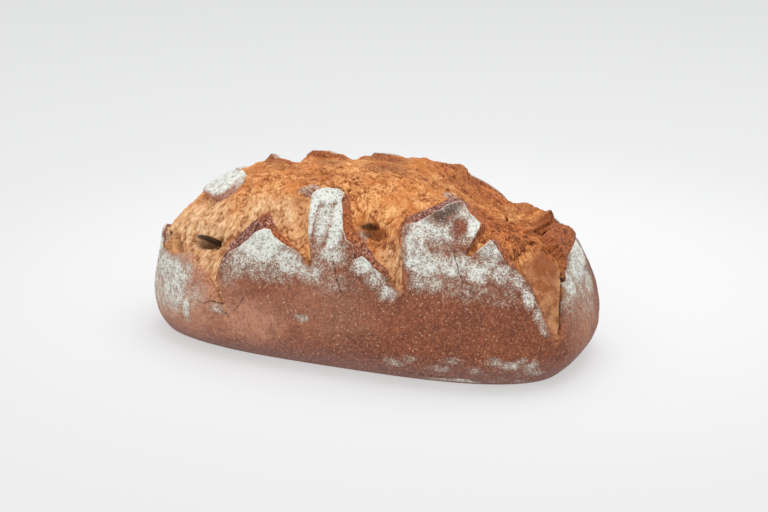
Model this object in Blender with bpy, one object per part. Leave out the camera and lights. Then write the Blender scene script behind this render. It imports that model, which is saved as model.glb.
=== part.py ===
"""A long rye bread loaf: a baked dough form whose floured crust has torn open along the top.

The crust rises round the loaf as a wall and ends in a ragged torn edge with lifted flaps.
Inside that edge the crumb has burst up to the ridge. Units are metres, +Z is up, +X runs
along the loaf, and the loaf stands on z = 0 with its middle over the origin.
"""

import bmesh
import bpy
import numpy as np
from mathutils import Vector, kdtree, noise

MM = 0.001

# The loaf without its flaps
LENGTH = 280 * MM
WIDTH = 148 * MM
RIDGE_HEIGHT = 113 * MM
PLAN_POWER = 3.0            # 2 is an ellipse seen from above, more is squarer
BELLY_HEIGHT = 27 * MM      # the widest level
BASE_ROUND = 23 * MM        # height over which the wall rounds in to the base
TUCK_POWER = 2.2            # more keeps the rounding closer to the base
INSET_SIDE, INSET_LEFT, INSET_RIGHT = 14.5 * MM, 6.5 * MM, 13 * MM
SPINE_REACH = 100 * MM      # the ridge line runs this far along X at most
SPINE_SPREAD = 0.9
RIDGE_DROP_LEFT, RIDGE_DROP_RIGHT = 21.5 * MM, 30 * MM
SHOULDER_SIDE, SHOULDER_LEFT, SHOULDER_RIGHT = 2.35, 1.85, 2.1
CROWN_POWER = 1.55          # more lifts the shoulders towards the ridge's height

# The crust and the crumb
RECESS = 2.2 * MM           # how far the crumb lies under the dough form beside the crust
RECESS_REACH = 11 * MM
FLAP_REACH = 15 * MM        # a lifted edge settles back onto the loaf over this distance
RIM_POWER = 1.2             # how steeply the torn rim falls from the crust to the crumb
CRUMB_LUMPS, LUMP_CELLS = 1.8 * MM, np.array([38, 38, 38])
CRUMB_STRANDS, STRAND_CELLS = 1.1 * MM, np.array([150, 50, 70])
CRUST_SWELL, SWELL_CELLS = 0.5 * MM, np.array([30, 30, 30])
CRUST_COLOUR, CRUST_ROUGHNESS = (0.36, 0.17, 0.10), 0.85
CRUMB_COLOUR, CRUMB_ROUGHNESS = (0.62, 0.30, 0.11), 0.9

# The mesh
PLAN_STEPS, WALL_STEPS, ARCH_STEPS = 20001, 40, 200
TABLE_COLUMNS, TABLE_ROWS = 720, 160
GRID_COLUMNS, GRID_ROWS = 480, 92
EDGE_STEP, LINE_STEP = 0.5 * MM, 2 * MM
OVERRUN = 5 * MM            # the wall's outline runs this far past both ends of the grid
SNAP = 0.85 * MM            # grid points this near the torn edge are moved onto it
SMOOTH_PASSES = 90
RIDGE_MERGE, DOUBLES = 1 * MM, 0.05 * MM
TRIANGLES_WANTED = 10600
CRUST, CRUMB = 0, 1         # material slots

# Each point of the torn edge: distance round the loaf from its right end, height up the
# skin from the base, lift off the loaf, and breadth of the torn rim, all in millimetres.
RIGHT_END_BACK = [
    (0, 80, 5, 9), (10, 84, 6.5, 9), (22, 89, 8.5, 7), (34, 86, 7.5, 5), (44, 80, 5, 4),
]
BACK_FLAPS = [
    (50, 66, 1.5, 2), (58, 80, 2, 2), (53, 97, 3, 4), (59, 109, 4.5, 4), (66, 96, 3.5, 6),
    (75, 79, 2, 5), (87, 66, 1.5, 3), (96, 70, 1.5, 2), (106, 88, 2.5, 2),
    (113, 108, 3.5, 3), (121, 123, 5, 3), (127, 132, 8, 3), (132, 118, 5, 6),
    (138, 99, 3, 5), (146, 80, 2, 4), (156, 68, 1.5, 2), (165, 84, 2, 2),
    (170, 107, 2.5, 2.5), (176, 127, 3, 3), (180, 142, 2.5, 3), (190, 141, 2, 4),
    (197, 122, 1.5, 6), (204, 103, 2, 6), (213, 87, 1.5, 3), (218, 104, 2.5, 2),
    (219, 125, 3, 3), (224, 139, 3.5, 4), (236, 144, 4.5, 4), (246, 138, 3, 5),
    (250, 119, 2.5, 7), (257, 98, 2, 6), (266, 79, 1.5, 4), (272, 77, 1.5, 2),
    (277, 96, 2.5, 2), (273, 117, 4, 3), (277, 134, 5, 3), (284, 117, 4, 6),
    (292, 98, 3, 6), (302, 80, 1.5, 3),
]
LEFT_END = [
    (312, 84, 1.5, 2), (330, 80, 1.5, 2), (344, 72, 1.5, 2), (356, 61, 1.5, 3),
    (368, 58, 2, 3), (380, 60, 2.5, 3), (389, 64, 4, 3), (396, 66, 5.5, 3),
    (402, 64, 5.5, 3), (404, 59, 3.5, 3), (407, 54, 2, 2),
    (413, 58, 1.5, 2), (428, 59, 1.5, 2), (439, 62, 2, 2), (445, 65, 2, 2),
    (453, 60, 1.5, 2), (462, 56, 1.5, 2), (465, 53, 1, 2), (470, 49, 1, 2),
    (474, 43, 1, 1.5), (478, 36, 1, 1.5), (481, 32, 0.5, 1.5), (483, 37, 1, 1.5),
    (480, 44, 1, 2), (476, 50, 1, 3),
]
FRONT_PEAK = [
    (473, 55, 1.5, 5), (476, 66, 2.5, 7), (480, 71, 3, 9), (487, 76, 3.5, 10),
    (492, 81, 4, 11), (496, 85, 4.5, 11), (502, 88, 5, 11), (506, 88, 4.5, 9),
    (509, 85, 4, 8), (515, 82, 3.5, 8), (520, 80, 3, 7), (525, 78, 2.5, 6),
    (530, 75, 2, 5), (533, 71, 1.5, 4), (536, 70, 1.5, 3),
]
FRONT_STRAP = [
    (534, 82, 2, 1.5), (531, 90, 2, 1.5), (529, 98, 2.5, 1.5), (527, 106, 2.5, 1.5),
    (526, 113, 3, 1.5), (528, 117, 3, 1.5), (535, 120, 3, 1.5), (542, 119, 3, 2),
    (547, 117, 3, 4), (547, 112, 3, 5), (549, 106, 3, 6), (551, 100, 3, 6),
    (553, 94, 3, 6), (556, 89, 3, 7), (559, 87, 3, 8), (561, 86, 2.5, 6),
    (562, 81, 2, 3), (562, 77, 1.5, 2),
]
FRONT_SMALL_FLAP = [
    (568, 80, 3.5, 6), (572, 78, 3, 6), (577, 74, 2.5, 6), (582, 71, 2, 5),
    (586, 68, 1.5, 4), (589, 65, 1.5, 3), (594, 62, 1, 2),
]
FRONT_BROAD_FLAP = [
    (597, 65, 1, 1.5), (594, 78, 1.5, 1.5), (592, 87, 2, 1.5), (590, 96, 2.5, 2),
    (591, 101, 3.5, 6), (598, 103, 3.5, 8), (603, 107, 3.5, 9), (608, 111, 4, 9),
    (612, 114, 4, 9), (617, 119, 4.5, 8), (625, 122, 5, 8), (629, 118, 5, 10),
    (634, 112, 5, 10), (643, 106, 5, 8), (641, 102, 4, 2), (637, 96, 3, 1.5),
    (634, 91, 2, 1.5), (632, 86, 1.5, 1.5),
]
FRONT_RIGHT_PEAK = [
    (637, 86, 2, 1.5), (640, 89, 2.5, 1.5), (646, 93, 3.5, 2), (650, 95, 4.5, 6),
    (654, 92, 4, 7), (657, 87, 3, 6), (661, 81, 2, 5), (667, 78, 1.5, 4),
    (671, 74, 1, 3), (675, 69, 1, 2.5), (677, 64, 1, 2), (678, 57, 1, 2),
    (680, 52, 1, 2), (683, 45, 1, 2), (686, 38, 1, 2), (689, 32, 0.5, 1.5),
]
RIGHT_END_FRONT = [
    (691, 38, 1, 2), (692, 43, 1, 2.5), (695, 52, 1.5, 3), (701, 62, 2, 5),
    (706, 70, 3, 7), (713, 74, 4, 9), (723, 77, 4.5, 10),
]
TORN_EDGE = (
    RIGHT_END_BACK + BACK_FLAPS + LEFT_END + FRONT_PEAK + FRONT_STRAP
    + FRONT_SMALL_FLAP + FRONT_BROAD_FLAP + FRONT_RIGHT_PEAK + RIGHT_END_FRONT
)
# A tongue of crust that climbs from the back wall over the left end of the ridge. Points
# above the ridge only close its outline.
TONGUE = [
    (346, 70, 1.5, 2), (344, 84, 1.5, 2), (352, 94, 1.5, 2), (368, 99, 1.5, 2),
    (385, 99, 1.5, 2), (405, 98, 1.5, 2), (429, 98, 1.5, 2), (440, 96, 1.5, 2),
    (451, 100, 1.5, 2), (456, 107, 1.5, 2), (457, 117, 1.5, 2), (459, 134, 1.5, 2),
    (461, 165, 1.5, 2), (271, 165, 1.5, 2), (283, 140, 1.5, 2), (297, 126, 2, 3),
    (306, 108, 2, 2), (308, 84, 1.5, 2), (312, 74, 1.5, 2),
]

# Grooves (below zero) and ridges of the crumb: half breadth and height in millimetres,
# then the line each follows, as distance round the loaf and height up the skin.
CRUMB_LINES = [
    (1.7, -7.0, [(718, 90), (713, 81), (708, 73), (702, 64), (695, 51), (691, 40)]),
    (3.6, -8.0, [(454, 76), (464, 77)]),
    (4.5, -5.5, [(563, 97), (576, 93)]),
    (3.2, 3.0, [(515, 110), (520, 117), (529, 122), (539, 123)]),
    (4.0, 2.5, [(611, 123), (621, 129), (632, 130)]),
    (17.0, -4.5, [(655, 125), (680, 118), (700, 114)]),
    (9.0, 1.8, [(683, 60), (690, 72), (700, 84)]),
    (8.5, 9.0, [(154, 147), (147, 143), (140, 138), (133, 135), (128, 134)]),
    (6.5, 8.5, [(66, 111), (54, 106), (45, 103), (32, 103), (18, 97)]),
]
# The same for the whole loaf, crust and crumb: slack places in the dough.
LOAF_LINES = [
    (26.0, -5.0, [(125, 143), (80, 128), (62, 118)]),
]


def signed_power(value, power):
    """The value's size raised to the power, with its sign kept."""
    return np.sign(value) * np.abs(value) ** power


class DoughForm:
    """The loaf's smooth skin, read by distance round the plan and distance up the skin."""

    def __init__(self):
        turn = np.linspace(0, 2 * np.pi, PLAN_STEPS)
        plan = self.plan(turn)
        steps = np.hypot(*np.diff(plan, axis=0).T)
        travelled = np.concatenate([[0], np.cumsum(steps)])
        self.girth = travelled[-1]
        columns = np.linspace(0, self.girth, TABLE_COLUMNS, endpoint=False)
        self.points, self.climb = self.sections(np.interp(columns, travelled, turn))
        self.normals = self.outward()

    def plan(self, turn):
        """Points of the widest outline, seen from above."""
        x = LENGTH / 2 * signed_power(np.cos(turn), 2 / PLAN_POWER)
        y = WIDTH / 2 * signed_power(np.sin(turn), 2 / PLAN_POWER)
        return np.stack([x, y], -1)

    def sections(self, turn):
        """Upright sections from base edge to ridge, their points spaced evenly."""
        x, y = self.plan(turn).T
        nx = signed_power(2 * x / LENGTH, PLAN_POWER - 1) / LENGTH
        ny = signed_power(2 * y / WIDTH, PLAN_POWER - 1) / WIDTH
        nx, ny = np.stack([nx, ny]) / np.hypot(nx, ny)
        left, right, side = np.clip(-nx, 0, 1) ** 2, np.clip(nx, 0, 1) ** 2, ny**2
        inset = left * INSET_LEFT + right * INSET_RIGHT + side * INSET_SIDE
        power = left * SHOULDER_LEFT + right * SHOULDER_RIGHT + side * SHOULDER_SIDE
        spine = SPINE_REACH * np.tanh(SPINE_SPREAD * x / SPINE_REACH)
        drop = np.where(spine < 0, RIDGE_DROP_LEFT, RIDGE_DROP_RIGHT)
        ridge = RIDGE_HEIGHT - drop * (spine / SPINE_REACH) ** 2
        rows = []
        for z in np.linspace(0, BELLY_HEIGHT, WALL_STEPS, endpoint=False):
            tuck = inset * np.clip(1 - z / BASE_ROUND, 0, 1) ** TUCK_POWER
            rows.append(np.stack([x - nx * tuck, y - ny * tuck, np.full_like(x, z)], -1))
        for swing in np.linspace(0, np.pi / 2, ARCH_STEPS):
            out = np.clip(np.cos(swing), 0, 1) ** (2 / power)
            z = BELLY_HEIGHT + (ridge - BELLY_HEIGHT) * np.sin(swing) ** (2 / CROWN_POWER)
            rows.append(np.stack([spine + (x - spine) * out, y * out, z], -1))
        return self.even(np.array(rows).transpose(1, 0, 2))

    def even(self, rows):
        """Each section with its points spaced evenly, and the length of each section."""
        steps = np.linalg.norm(np.diff(rows, axis=1), axis=-1)
        climbed = np.concatenate([np.zeros((len(rows), 1)), np.cumsum(steps, 1)], 1)
        wanted = np.linspace(0, 1, TABLE_ROWS)
        points = np.empty((len(rows), TABLE_ROWS, 3))
        for column, (section, climb) in enumerate(zip(rows, climbed)):
            for axis in range(3):
                points[column, :, axis] = np.interp(wanted * climb[-1], climb, section[:, axis])
        return points, climbed[:, -1]

    def outward(self):
        """Unit normals of the form, straight up along the ridge."""
        round_loaf = np.roll(self.points, -1, 0) - np.roll(self.points, 1, 0)
        up_skin = np.gradient(self.points, axis=1)
        normals = np.cross(round_loaf, up_skin)
        normals[:, -1] = (0, 0, 1)
        return normals / np.linalg.norm(normals, axis=-1, keepdims=True)

    def read(self, table, girth, share):
        """A bilinear reading of a table of columns round the loaf and rows up the skin."""
        column = np.mod(girth / self.girth, 1) * TABLE_COLUMNS
        row = np.clip(share, 0, 1) * (TABLE_ROWS - 1)
        c, r = column.astype(int), np.minimum(row.astype(int), TABLE_ROWS - 2)
        s, t = (column - c)[:, None], (row - r)[:, None]
        here, beyond = c % TABLE_COLUMNS, (c + 1) % TABLE_COLUMNS
        low = table[here, r] * (1 - s) + table[beyond, r] * s
        high = table[here, r + 1] * (1 - s) + table[beyond, r + 1] * s
        return low * (1 - t) + high * t

    def height_of_skin(self, girth):
        """Distance up the skin from the base edge to the ridge."""
        columns = np.linspace(0, self.girth, TABLE_COLUMNS, endpoint=False)
        return np.interp(np.mod(girth, self.girth), columns, self.climb, period=self.girth)

    def place(self, girth, rise):
        """Points of the form and the normals there."""
        share = rise / self.height_of_skin(girth)
        normals = self.read(self.normals, girth, share)
        normals /= np.linalg.norm(normals, axis=-1, keepdims=True)
        return self.read(self.points, girth, share), normals


def walk(corners, step):
    """Points at even steps along a line of corners, whose first two values are a place."""
    corners = np.array(corners, float)
    lengths = np.hypot(*np.diff(corners[:, :2], axis=0).T)
    travelled = np.concatenate([[0], np.cumsum(lengths)])
    stops = np.linspace(0, travelled[-1], max(2, int(travelled[-1] / step)))
    return np.stack([np.interp(stops, travelled, values) for values in corners.T], -1)


def outlines(form):
    """The torn edge's loop, the wall under it and the tongue, as rows in metres."""
    loop = np.array(TORN_EDGE) * MM
    loop = np.concatenate([loop, loop[:1] + (form.girth, 0, 0, 0)])
    low, past = -OVERRUN, form.girth + OVERRUN
    start, end = (low, loop[0, 1], 0, 0), (past, loop[0, 1], 0, 0)
    wall = np.array([(low, low, 0, 0), (past, low, 0, 0), end, *loop[::-1], start])
    return loop, wall, np.array(TONGUE) * MM


def inside(places, outline):
    """Whether each (girth, rise) place lies inside a closed outline, by counting crossings."""
    x, y = places.T
    crossed = np.zeros(len(places), bool)
    for (ax, ay), (bx, by) in zip(outline[:, :2], np.roll(outline[:, :2], -1, 0)):
        if ay != by:
            spans = (ay > y) != (by > y)
            crossed ^= spans & (x < ax + (y - ay) * (bx - ax) / (by - ay))
    return crossed


def is_crust(form, places):
    """Whether each place lies under the torn edge or on the tongue."""
    _, wall, tongue = outlines(form)
    return inside(places, wall) | inside(places, tongue)


def edge_samples(form):
    """The whole torn edge as close points: girth, rise, lift and rim, all in metres."""
    loop, wall, tongue = outlines(form)
    main, branch = walk(loop, EDGE_STEP), walk(tongue, EDGE_STEP)
    main = main[~inside(main[:, :2], tongue)]
    branch = branch[~inside(branch[:, :2], wall)]
    branch = branch[branch[:, 1] < form.height_of_skin(branch[:, 0])]
    return np.concatenate([main, branch])


def nearest(points, samples):
    """Index of the nearest sample to each point, and the distance to it."""
    tree = kdtree.KDTree(len(samples))
    for index, sample in enumerate(samples):
        tree.insert(sample, index)
    tree.balance()
    found = [tree.find(point)[1:] for point in points]
    index, distance = np.array(found).T
    return index.astype(int), distance


def noise_at(points, finer, shift=0):
    """Smooth noise between about -1 and 1, with so many cells a metre along each axis."""
    return np.array([noise.noise(Vector(p)) for p in points * finer + shift])


def torn_crumb(points):
    """Height of the torn crumb's lumps, and of strands that run across the loaf."""
    lumps = noise_at(points, LUMP_CELLS)
    strands = noise_at(points, STRAND_CELLS, 7)
    return CRUMB_LUMPS * lumps + CRUMB_STRANDS * strands


def line_relief(form, points, lines):
    """Height that named grooves and ridges add at each point."""
    height = np.zeros(len(points))
    for breadth, amount, corners in lines:
        line = walk([(g * MM, r * MM) for g, r in corners], LINE_STEP)
        on_form, _ = form.place(line[:, 0], line[:, 1])
        gaps = np.linalg.norm(points[:, None] - on_form[None], axis=-1).min(1)
        height += amount * MM * np.exp(-((gaps / (breadth * MM)) ** 2))
    return height


def stand_off(form, points, crust, edge, gap):
    """How far the loaf's surface stands off the dough form at each point.

    edge holds the girth, rise, lift and rim of the nearest point of the torn edge, and
    gap is the distance to it.
    """
    lift, rim = edge[:, 2], edge[:, 3]
    swell = CRUST_SWELL * noise_at(points, SWELL_CELLS, 3)
    on_crust = lift * np.exp(-gap / FLAP_REACH) + swell
    settled = 1 - np.exp(-np.clip(gap - rim, 0, None) / RECESS_REACH)
    crumb = -RECESS * (1 - settled) + torn_crumb(points)
    crumb += line_relief(form, points, CRUMB_LINES)
    down_rim = np.clip(gap / rim, 0, 1) ** RIM_POWER
    on_crumb = (lift + swell) * (1 - down_rim) + crumb * down_rim
    slack = line_relief(form, points, LOAF_LINES)
    return np.where(crust, on_crust, on_crumb) + slack


def new_material(name, colour, roughness):
    """A plain, matt material."""
    material = bpy.data.materials.new(name)
    material.use_nodes = True
    shader = material.node_tree.nodes["Principled BSDF"]
    shader.inputs["Base Color"].default_value = (*colour, 1)
    shader.inputs["Roughness"].default_value = roughness
    shader.inputs["Metallic"].default_value = 0
    material.diffuse_color = (*colour, 1)
    return material


def grid_round_loaf(form):
    """A flat grid whose x is the distance round the loaf and y the share of the skin."""
    bm = bmesh.new()
    bmesh.ops.create_grid(bm, x_segments=GRID_COLUMNS, y_segments=GRID_ROWS, size=1)
    bmesh.ops.scale(bm, vec=(form.girth / 2, 0.5, 1), verts=bm.verts)
    bmesh.ops.translate(bm, vec=(form.girth / 2, 0.5, 0), verts=bm.verts)
    return bm


def relaxed(height, free):
    """The heights evened out over the grid wherever they are free to move."""
    height = height.reshape(GRID_ROWS + 1, GRID_COLUMNS + 1)
    free = free.reshape(height.shape).copy()
    free[[0, -1]] = False
    for _ in range(SMOOTH_PASSES):
        beside = np.roll(height, 1, 1) + np.roll(height, -1, 1)
        along = np.roll(height, 1, 0) + np.roll(height, -1, 0)
        height = np.where(free, (beside + along) / 4, height)
    return height.ravel()


def joined_up(surface):
    """The grid's points with both ends of each row, and both sides of the ridge, as one."""
    grid = surface.reshape(GRID_ROWS + 1, GRID_COLUMNS + 1, 3)
    grid[:, -1] = grid[:, 0]
    grid[-1] = (grid[-1] + grid[-1, ::-1]) / 2
    return grid.reshape(-1, 3)


def grid_places(form, bm):
    """Girth and rise of each point of the flat grid."""
    flat = np.array([vert.co[:2] for vert in bm.verts])
    flat[:, 1] *= form.height_of_skin(flat[:, 0])
    return flat


def mark_faces(form, bm):
    """Gives each face of the flat grid the crust's material or the crumb's."""
    middles = np.array([face.calc_center_median()[:2] for face in bm.faces])
    middles[:, 1] *= form.height_of_skin(middles[:, 0])
    for face, crust in zip(bm.faces, is_crust(form, middles)):
        face.material_index = CRUST if crust else CRUMB


def loaf_shell(form):
    """The whole skin of the loaf, open only at the base."""
    bm = grid_round_loaf(form)
    mark_faces(form, bm)
    places = grid_places(form, bm)
    points, _ = form.place(*places.T)
    samples = edge_samples(form)
    index, gap = nearest(points, form.place(*samples[:, :2].T)[0])
    on_edge = gap < SNAP
    on_edge[-GRID_COLUMNS - 1:] = False
    places[on_edge] = samples[index[on_edge], :2]
    gap[on_edge] = 0
    points, normals = form.place(*places.T)
    crust = is_crust(form, places) | on_edge
    height = stand_off(form, points, crust, samples[index], gap)
    height = relaxed(height, crust & ~on_edge)
    height *= np.clip(places[:, 1] / BASE_ROUND, 0, 1)
    surface = joined_up(points + normals * height[:, None])
    for vert, place in zip(bm.verts, surface):
        vert.co = place
    bm.verts.ensure_lookup_table()
    ridge = bm.verts[-GRID_COLUMNS - 1:]
    bmesh.ops.remove_doubles(bm, verts=ridge, dist=RIDGE_MERGE)
    bmesh.ops.remove_doubles(bm, verts=bm.verts, dist=DOUBLES)
    bmesh.ops.recalc_face_normals(bm, faces=bm.faces)
    return bm


def thinned(shell, name):
    """The shell with fewer faces: many along the tears, few on the smooth wall."""
    mesh = bpy.data.meshes.new(name)
    shell.to_mesh(mesh)
    helper = bpy.data.objects.new(name, mesh)
    bpy.context.collection.objects.link(helper)
    decimate = helper.modifiers.new("Thin", "DECIMATE")
    triangles = sum(len(face.verts) - 2 for face in shell.faces)
    decimate.ratio = TRIANGLES_WANTED / triangles
    graph = bpy.context.evaluated_depsgraph_get()
    result = bmesh.new()
    result.from_mesh(bpy.data.meshes.new_from_object(helper.evaluated_get(graph)))
    bpy.data.objects.remove(helper)
    return result


def close_base(bm):
    """Flattens the base edge and fills it."""
    rim = [edge for edge in bm.edges if edge.is_boundary]
    for edge in rim:
        for vert in edge.verts:
            vert.co.z = 0
    bmesh.ops.holes_fill(bm, edges=rim, sides=0)
    bmesh.ops.recalc_face_normals(bm, faces=bm.faces)


def make_loaf():
    """The loaf as one closed solid, in a collection of its own."""
    bm = thinned(loaf_shell(DoughForm()), "loaf shell")
    close_base(bm)
    mesh = bpy.data.meshes.new("loaf")
    bm.to_mesh(mesh)
    mesh.materials.append(new_material("floured crust", CRUST_COLOUR, CRUST_ROUGHNESS))
    mesh.materials.append(new_material("torn crumb", CRUMB_COLOUR, CRUMB_ROUGHNESS))
    mesh.shade_smooth()
    loaf = bpy.data.objects.new("loaf", mesh)
    parts = bpy.data.collections.new("rye bread loaf")
    bpy.context.scene.collection.children.link(parts)
    parts.objects.link(loaf)


for item in list(bpy.data.objects):
    bpy.data.objects.remove(item)
make_loaf()
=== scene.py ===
# %% [markdown]
# A rye bread loaf, dressed for its portrait
#
# The solid model of this loaf is already made. It has the true form, but its skin is
# plain. Here each surface gets its finish: a floured crust, the rough rim where that crust tore,
# and the stringy crumb that burst out between the flaps. Every number is in metres unless its
# name ends in another unit, and the loaf lies along X with its middle over the origin.

# %% Load the fixed frame
import math

import bmesh
import bpy
import numpy as np
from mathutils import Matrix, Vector, kdtree, noise


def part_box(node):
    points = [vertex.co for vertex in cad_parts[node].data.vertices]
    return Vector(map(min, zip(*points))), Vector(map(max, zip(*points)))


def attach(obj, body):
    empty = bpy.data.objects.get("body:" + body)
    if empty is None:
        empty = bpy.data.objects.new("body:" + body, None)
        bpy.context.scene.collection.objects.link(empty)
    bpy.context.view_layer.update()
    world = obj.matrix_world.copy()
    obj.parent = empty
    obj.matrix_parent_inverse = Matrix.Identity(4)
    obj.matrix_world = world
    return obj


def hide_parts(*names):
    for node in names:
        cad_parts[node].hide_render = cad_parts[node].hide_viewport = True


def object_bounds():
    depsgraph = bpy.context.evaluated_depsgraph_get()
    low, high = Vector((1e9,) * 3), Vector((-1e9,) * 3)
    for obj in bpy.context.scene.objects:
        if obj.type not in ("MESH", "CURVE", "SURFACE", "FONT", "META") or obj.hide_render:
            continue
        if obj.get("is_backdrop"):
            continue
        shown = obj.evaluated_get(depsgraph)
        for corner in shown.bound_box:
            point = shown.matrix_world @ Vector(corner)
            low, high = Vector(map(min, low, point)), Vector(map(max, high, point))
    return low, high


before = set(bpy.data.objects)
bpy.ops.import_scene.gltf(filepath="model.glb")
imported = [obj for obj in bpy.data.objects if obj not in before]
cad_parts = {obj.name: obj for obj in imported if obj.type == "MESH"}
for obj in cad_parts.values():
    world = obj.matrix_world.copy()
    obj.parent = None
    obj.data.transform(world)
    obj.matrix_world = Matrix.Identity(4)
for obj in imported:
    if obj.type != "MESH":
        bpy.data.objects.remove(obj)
solid_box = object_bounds()
low_corner, high_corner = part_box("loaf")
MM = 0.001
print("solid loaf, mm:", [round(side / MM, 1) for side in high_corner - low_corner])

# %% [markdown]
# The camera comes first, so that every later look is judged from the right place. The picture
# was taken from a little above the table and from a little to the right of the loaf's middle.
# A long lens far away keeps both ends of the loaf at nearly the same scale.

# %% Place the camera
CAMERA_TURN, CAMERA_RISE = math.radians(22), math.radians(18.5)
CAMERA_DISTANCE, CAMERA_LENS = 1.12, 85
CAMERA_TARGET = Vector((0.007, 0, 0.0527))


def place_camera():
    """A camera that looks at the loaf from the chosen turn and rise."""
    camera = bpy.data.objects.new("camera", bpy.data.cameras.new("camera"))
    camera.data.lens = CAMERA_LENS
    flat = math.cos(CAMERA_RISE)
    back = Vector((math.sin(CAMERA_TURN) * flat, -math.cos(CAMERA_TURN) * flat, math.sin(CAMERA_RISE)))
    camera.location = CAMERA_TARGET + CAMERA_DISTANCE * back
    camera.rotation_euler = back.to_track_quat("Z", "Y").to_euler()
    bpy.context.scene.collection.objects.link(camera)
    bpy.context.scene.camera = camera
    return camera


camera = place_camera()
print("camera at", [round(value, 3) for value in camera.location])

# %% [markdown]
# A loaf is dull, and pale light flatters it. One large soft lamp overhead makes the torn top glow,
# a second from the front rounds the side wall, and a bright even surrounding fills the shadows.
# The floor is a wide plain sheet, so that no horizon shows behind the loaf. It glows a little, a
# painted light that keeps the loaf's shadow faint, and this painted glow is strongest round the loaf.

# %% Light the table
bpy.context.scene.view_settings.view_transform = "Standard"
FLOOR_SIZE = 14
FLOOR_COLOUR, FLOOR_GLOW = (0.35, 0.351, 0.356, 1), 0.485
GLOW_SIZE, GLOW_DROP, GLOW_BACK = 0.42, 0.10, 0.12
GLOW_COLOUR, FLOOR_ROUGHNESS = (0.995, 1, 1, 1), 0.9
SURROUND_COLOUR, SURROUND_STRENGTH = (0.98, 0.99, 1.0, 1), 0.85
LAMPS = [
    ("overhead", (0.08, 0.22, 1.1), 0.9, 6.6, (1, 0.985, 0.96)),
    ("front", (-0.15, -1.5, 0.6), 1.2, 5, (1, 0.99, 0.97)),
]
LAMP_AIM = Vector((0, 0, 0.05))


def add_lamp(name, place, size, power, colour):
    """A square soft lamp that shines from its place towards the loaf."""
    lamp = bpy.data.lights.new(name, "AREA")
    lamp.size = size
    lamp.energy = power
    lamp.color = colour
    holder = bpy.data.objects.new(name, lamp)
    holder.location = place
    holder.rotation_euler = (Vector(place) - LAMP_AIM).to_track_quat("Z", "Y").to_euler()
    bpy.context.scene.collection.objects.link(holder)


def light_table():
    """The world's even light, two lamps and the floor."""
    world = bpy.data.worlds.new("studio")
    bpy.context.scene.world = world
    world.use_nodes = True
    surround = world.node_tree.nodes["Background"]
    surround.inputs["Color"].default_value = SURROUND_COLOUR
    surround.inputs["Strength"].default_value = SURROUND_STRENGTH
    for lamp in LAMPS:
        add_lamp(*lamp)
    bm = bmesh.new()
    bmesh.ops.create_grid(bm, x_segments=1, y_segments=1, size=FLOOR_SIZE / 2)
    mesh = bpy.data.meshes.new("floor")
    bm.to_mesh(mesh)
    bm.free()
    floor = bpy.data.objects.new("floor", mesh)
    floor.location.y = GLOW_BACK
    bpy.context.scene.collection.objects.link(floor)
    floor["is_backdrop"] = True
    material = bpy.data.materials.new("pale floor")
    material.use_nodes = True
    shader = material.node_tree.nodes["Principled BSDF"]
    shader.inputs["Base Color"].default_value = FLOOR_COLOUR
    shader.inputs["Roughness"].default_value = FLOOR_ROUGHNESS
    shader.inputs["Emission Color"].default_value = GLOW_COLOUR
    nodes, links = material.node_tree.nodes, material.node_tree.links
    # The floor's emission is painted light: a glow that keeps the loaf's shadow faint, fading away from
    # the loaf.
    far, glow = nodes.new("ShaderNodeVectorMath"), nodes.new("ShaderNodeMapRange")
    far.operation = "LENGTH"
    glow.interpolation_type = "SMOOTHSTEP"
    glow.inputs["From Min"].default_value = GLOW_SIZE / 4
    glow.inputs["From Max"].default_value = GLOW_SIZE
    glow.inputs["To Min"].default_value = FLOOR_GLOW
    glow.inputs["To Max"].default_value = FLOOR_GLOW - GLOW_DROP
    links.new(nodes.new("ShaderNodeTexCoord").outputs["Object"], far.inputs[0])
    links.new(far.outputs["Value"], glow.inputs["Value"])
    links.new(glow.outputs[0], shader.inputs["Emission Strength"])
    mesh.materials.append(material)
    return floor


floor = light_table()
print("floor", floor.dimensions.x, "m wide")

# %% [markdown]
# Before it tore, the loaf was a smooth cushion of dough. That form is worked out here once more
# from its driving sizes, because the fine skin is laid over it. Two distances give any place on
# it: the girth, measured round the widest outline from the right end by way of the back, and the
# rise, measured up the skin from the base edge to the ridge.

# %% The dough form's driving sizes
LENGTH, WIDTH, RIDGE_HEIGHT = 280 * MM, 148 * MM, 113 * MM
PLAN_POWER = 3.0
BELLY_HEIGHT, BASE_ROUND, TUCK_POWER = 27 * MM, 23 * MM, 2.2
INSET_SIDE, INSET_LEFT, INSET_RIGHT = 14.5 * MM, 6.5 * MM, 13 * MM
SPINE_REACH, SPINE_SPREAD = 100 * MM, 0.9
RIDGE_DROP_LEFT, RIDGE_DROP_RIGHT = 21.5 * MM, 30 * MM
SHOULDER_SIDE, SHOULDER_LEFT, SHOULDER_RIGHT = 2.35, 1.85, 2.1
CROWN_POWER = 1.55
PLAN_STEPS, WALL_STEPS, ARCH_STEPS = 20001, 40, 200
TABLE_COLUMNS, TABLE_ROWS = 720, 160
print("dough form, mm:", [round(side / MM) for side in (LENGTH, WIDTH, RIDGE_HEIGHT)])

# %% The widest outline, seen from above


def signed_power(value, power):
    """The value's size raised to the power, with its sign kept."""
    return np.sign(value) * np.abs(value) ** power


def plan_outline(turn):
    """Points of a squarish oval."""
    x = LENGTH / 2 * signed_power(np.cos(turn), 2 / PLAN_POWER)
    y = WIDTH / 2 * signed_power(np.sin(turn), 2 / PLAN_POWER)
    return np.stack([x, y], -1)


all_turns = np.linspace(0, 2 * np.pi, PLAN_STEPS)
outline_steps = np.hypot(*np.diff(plan_outline(all_turns), axis=0).T)
travelled = np.concatenate([[0], np.cumsum(outline_steps)])
GIRTH = travelled[-1]
print("girth, mm:", round(GIRTH / MM, 1))

# %% Upright sections from the base edge to the ridge


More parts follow.
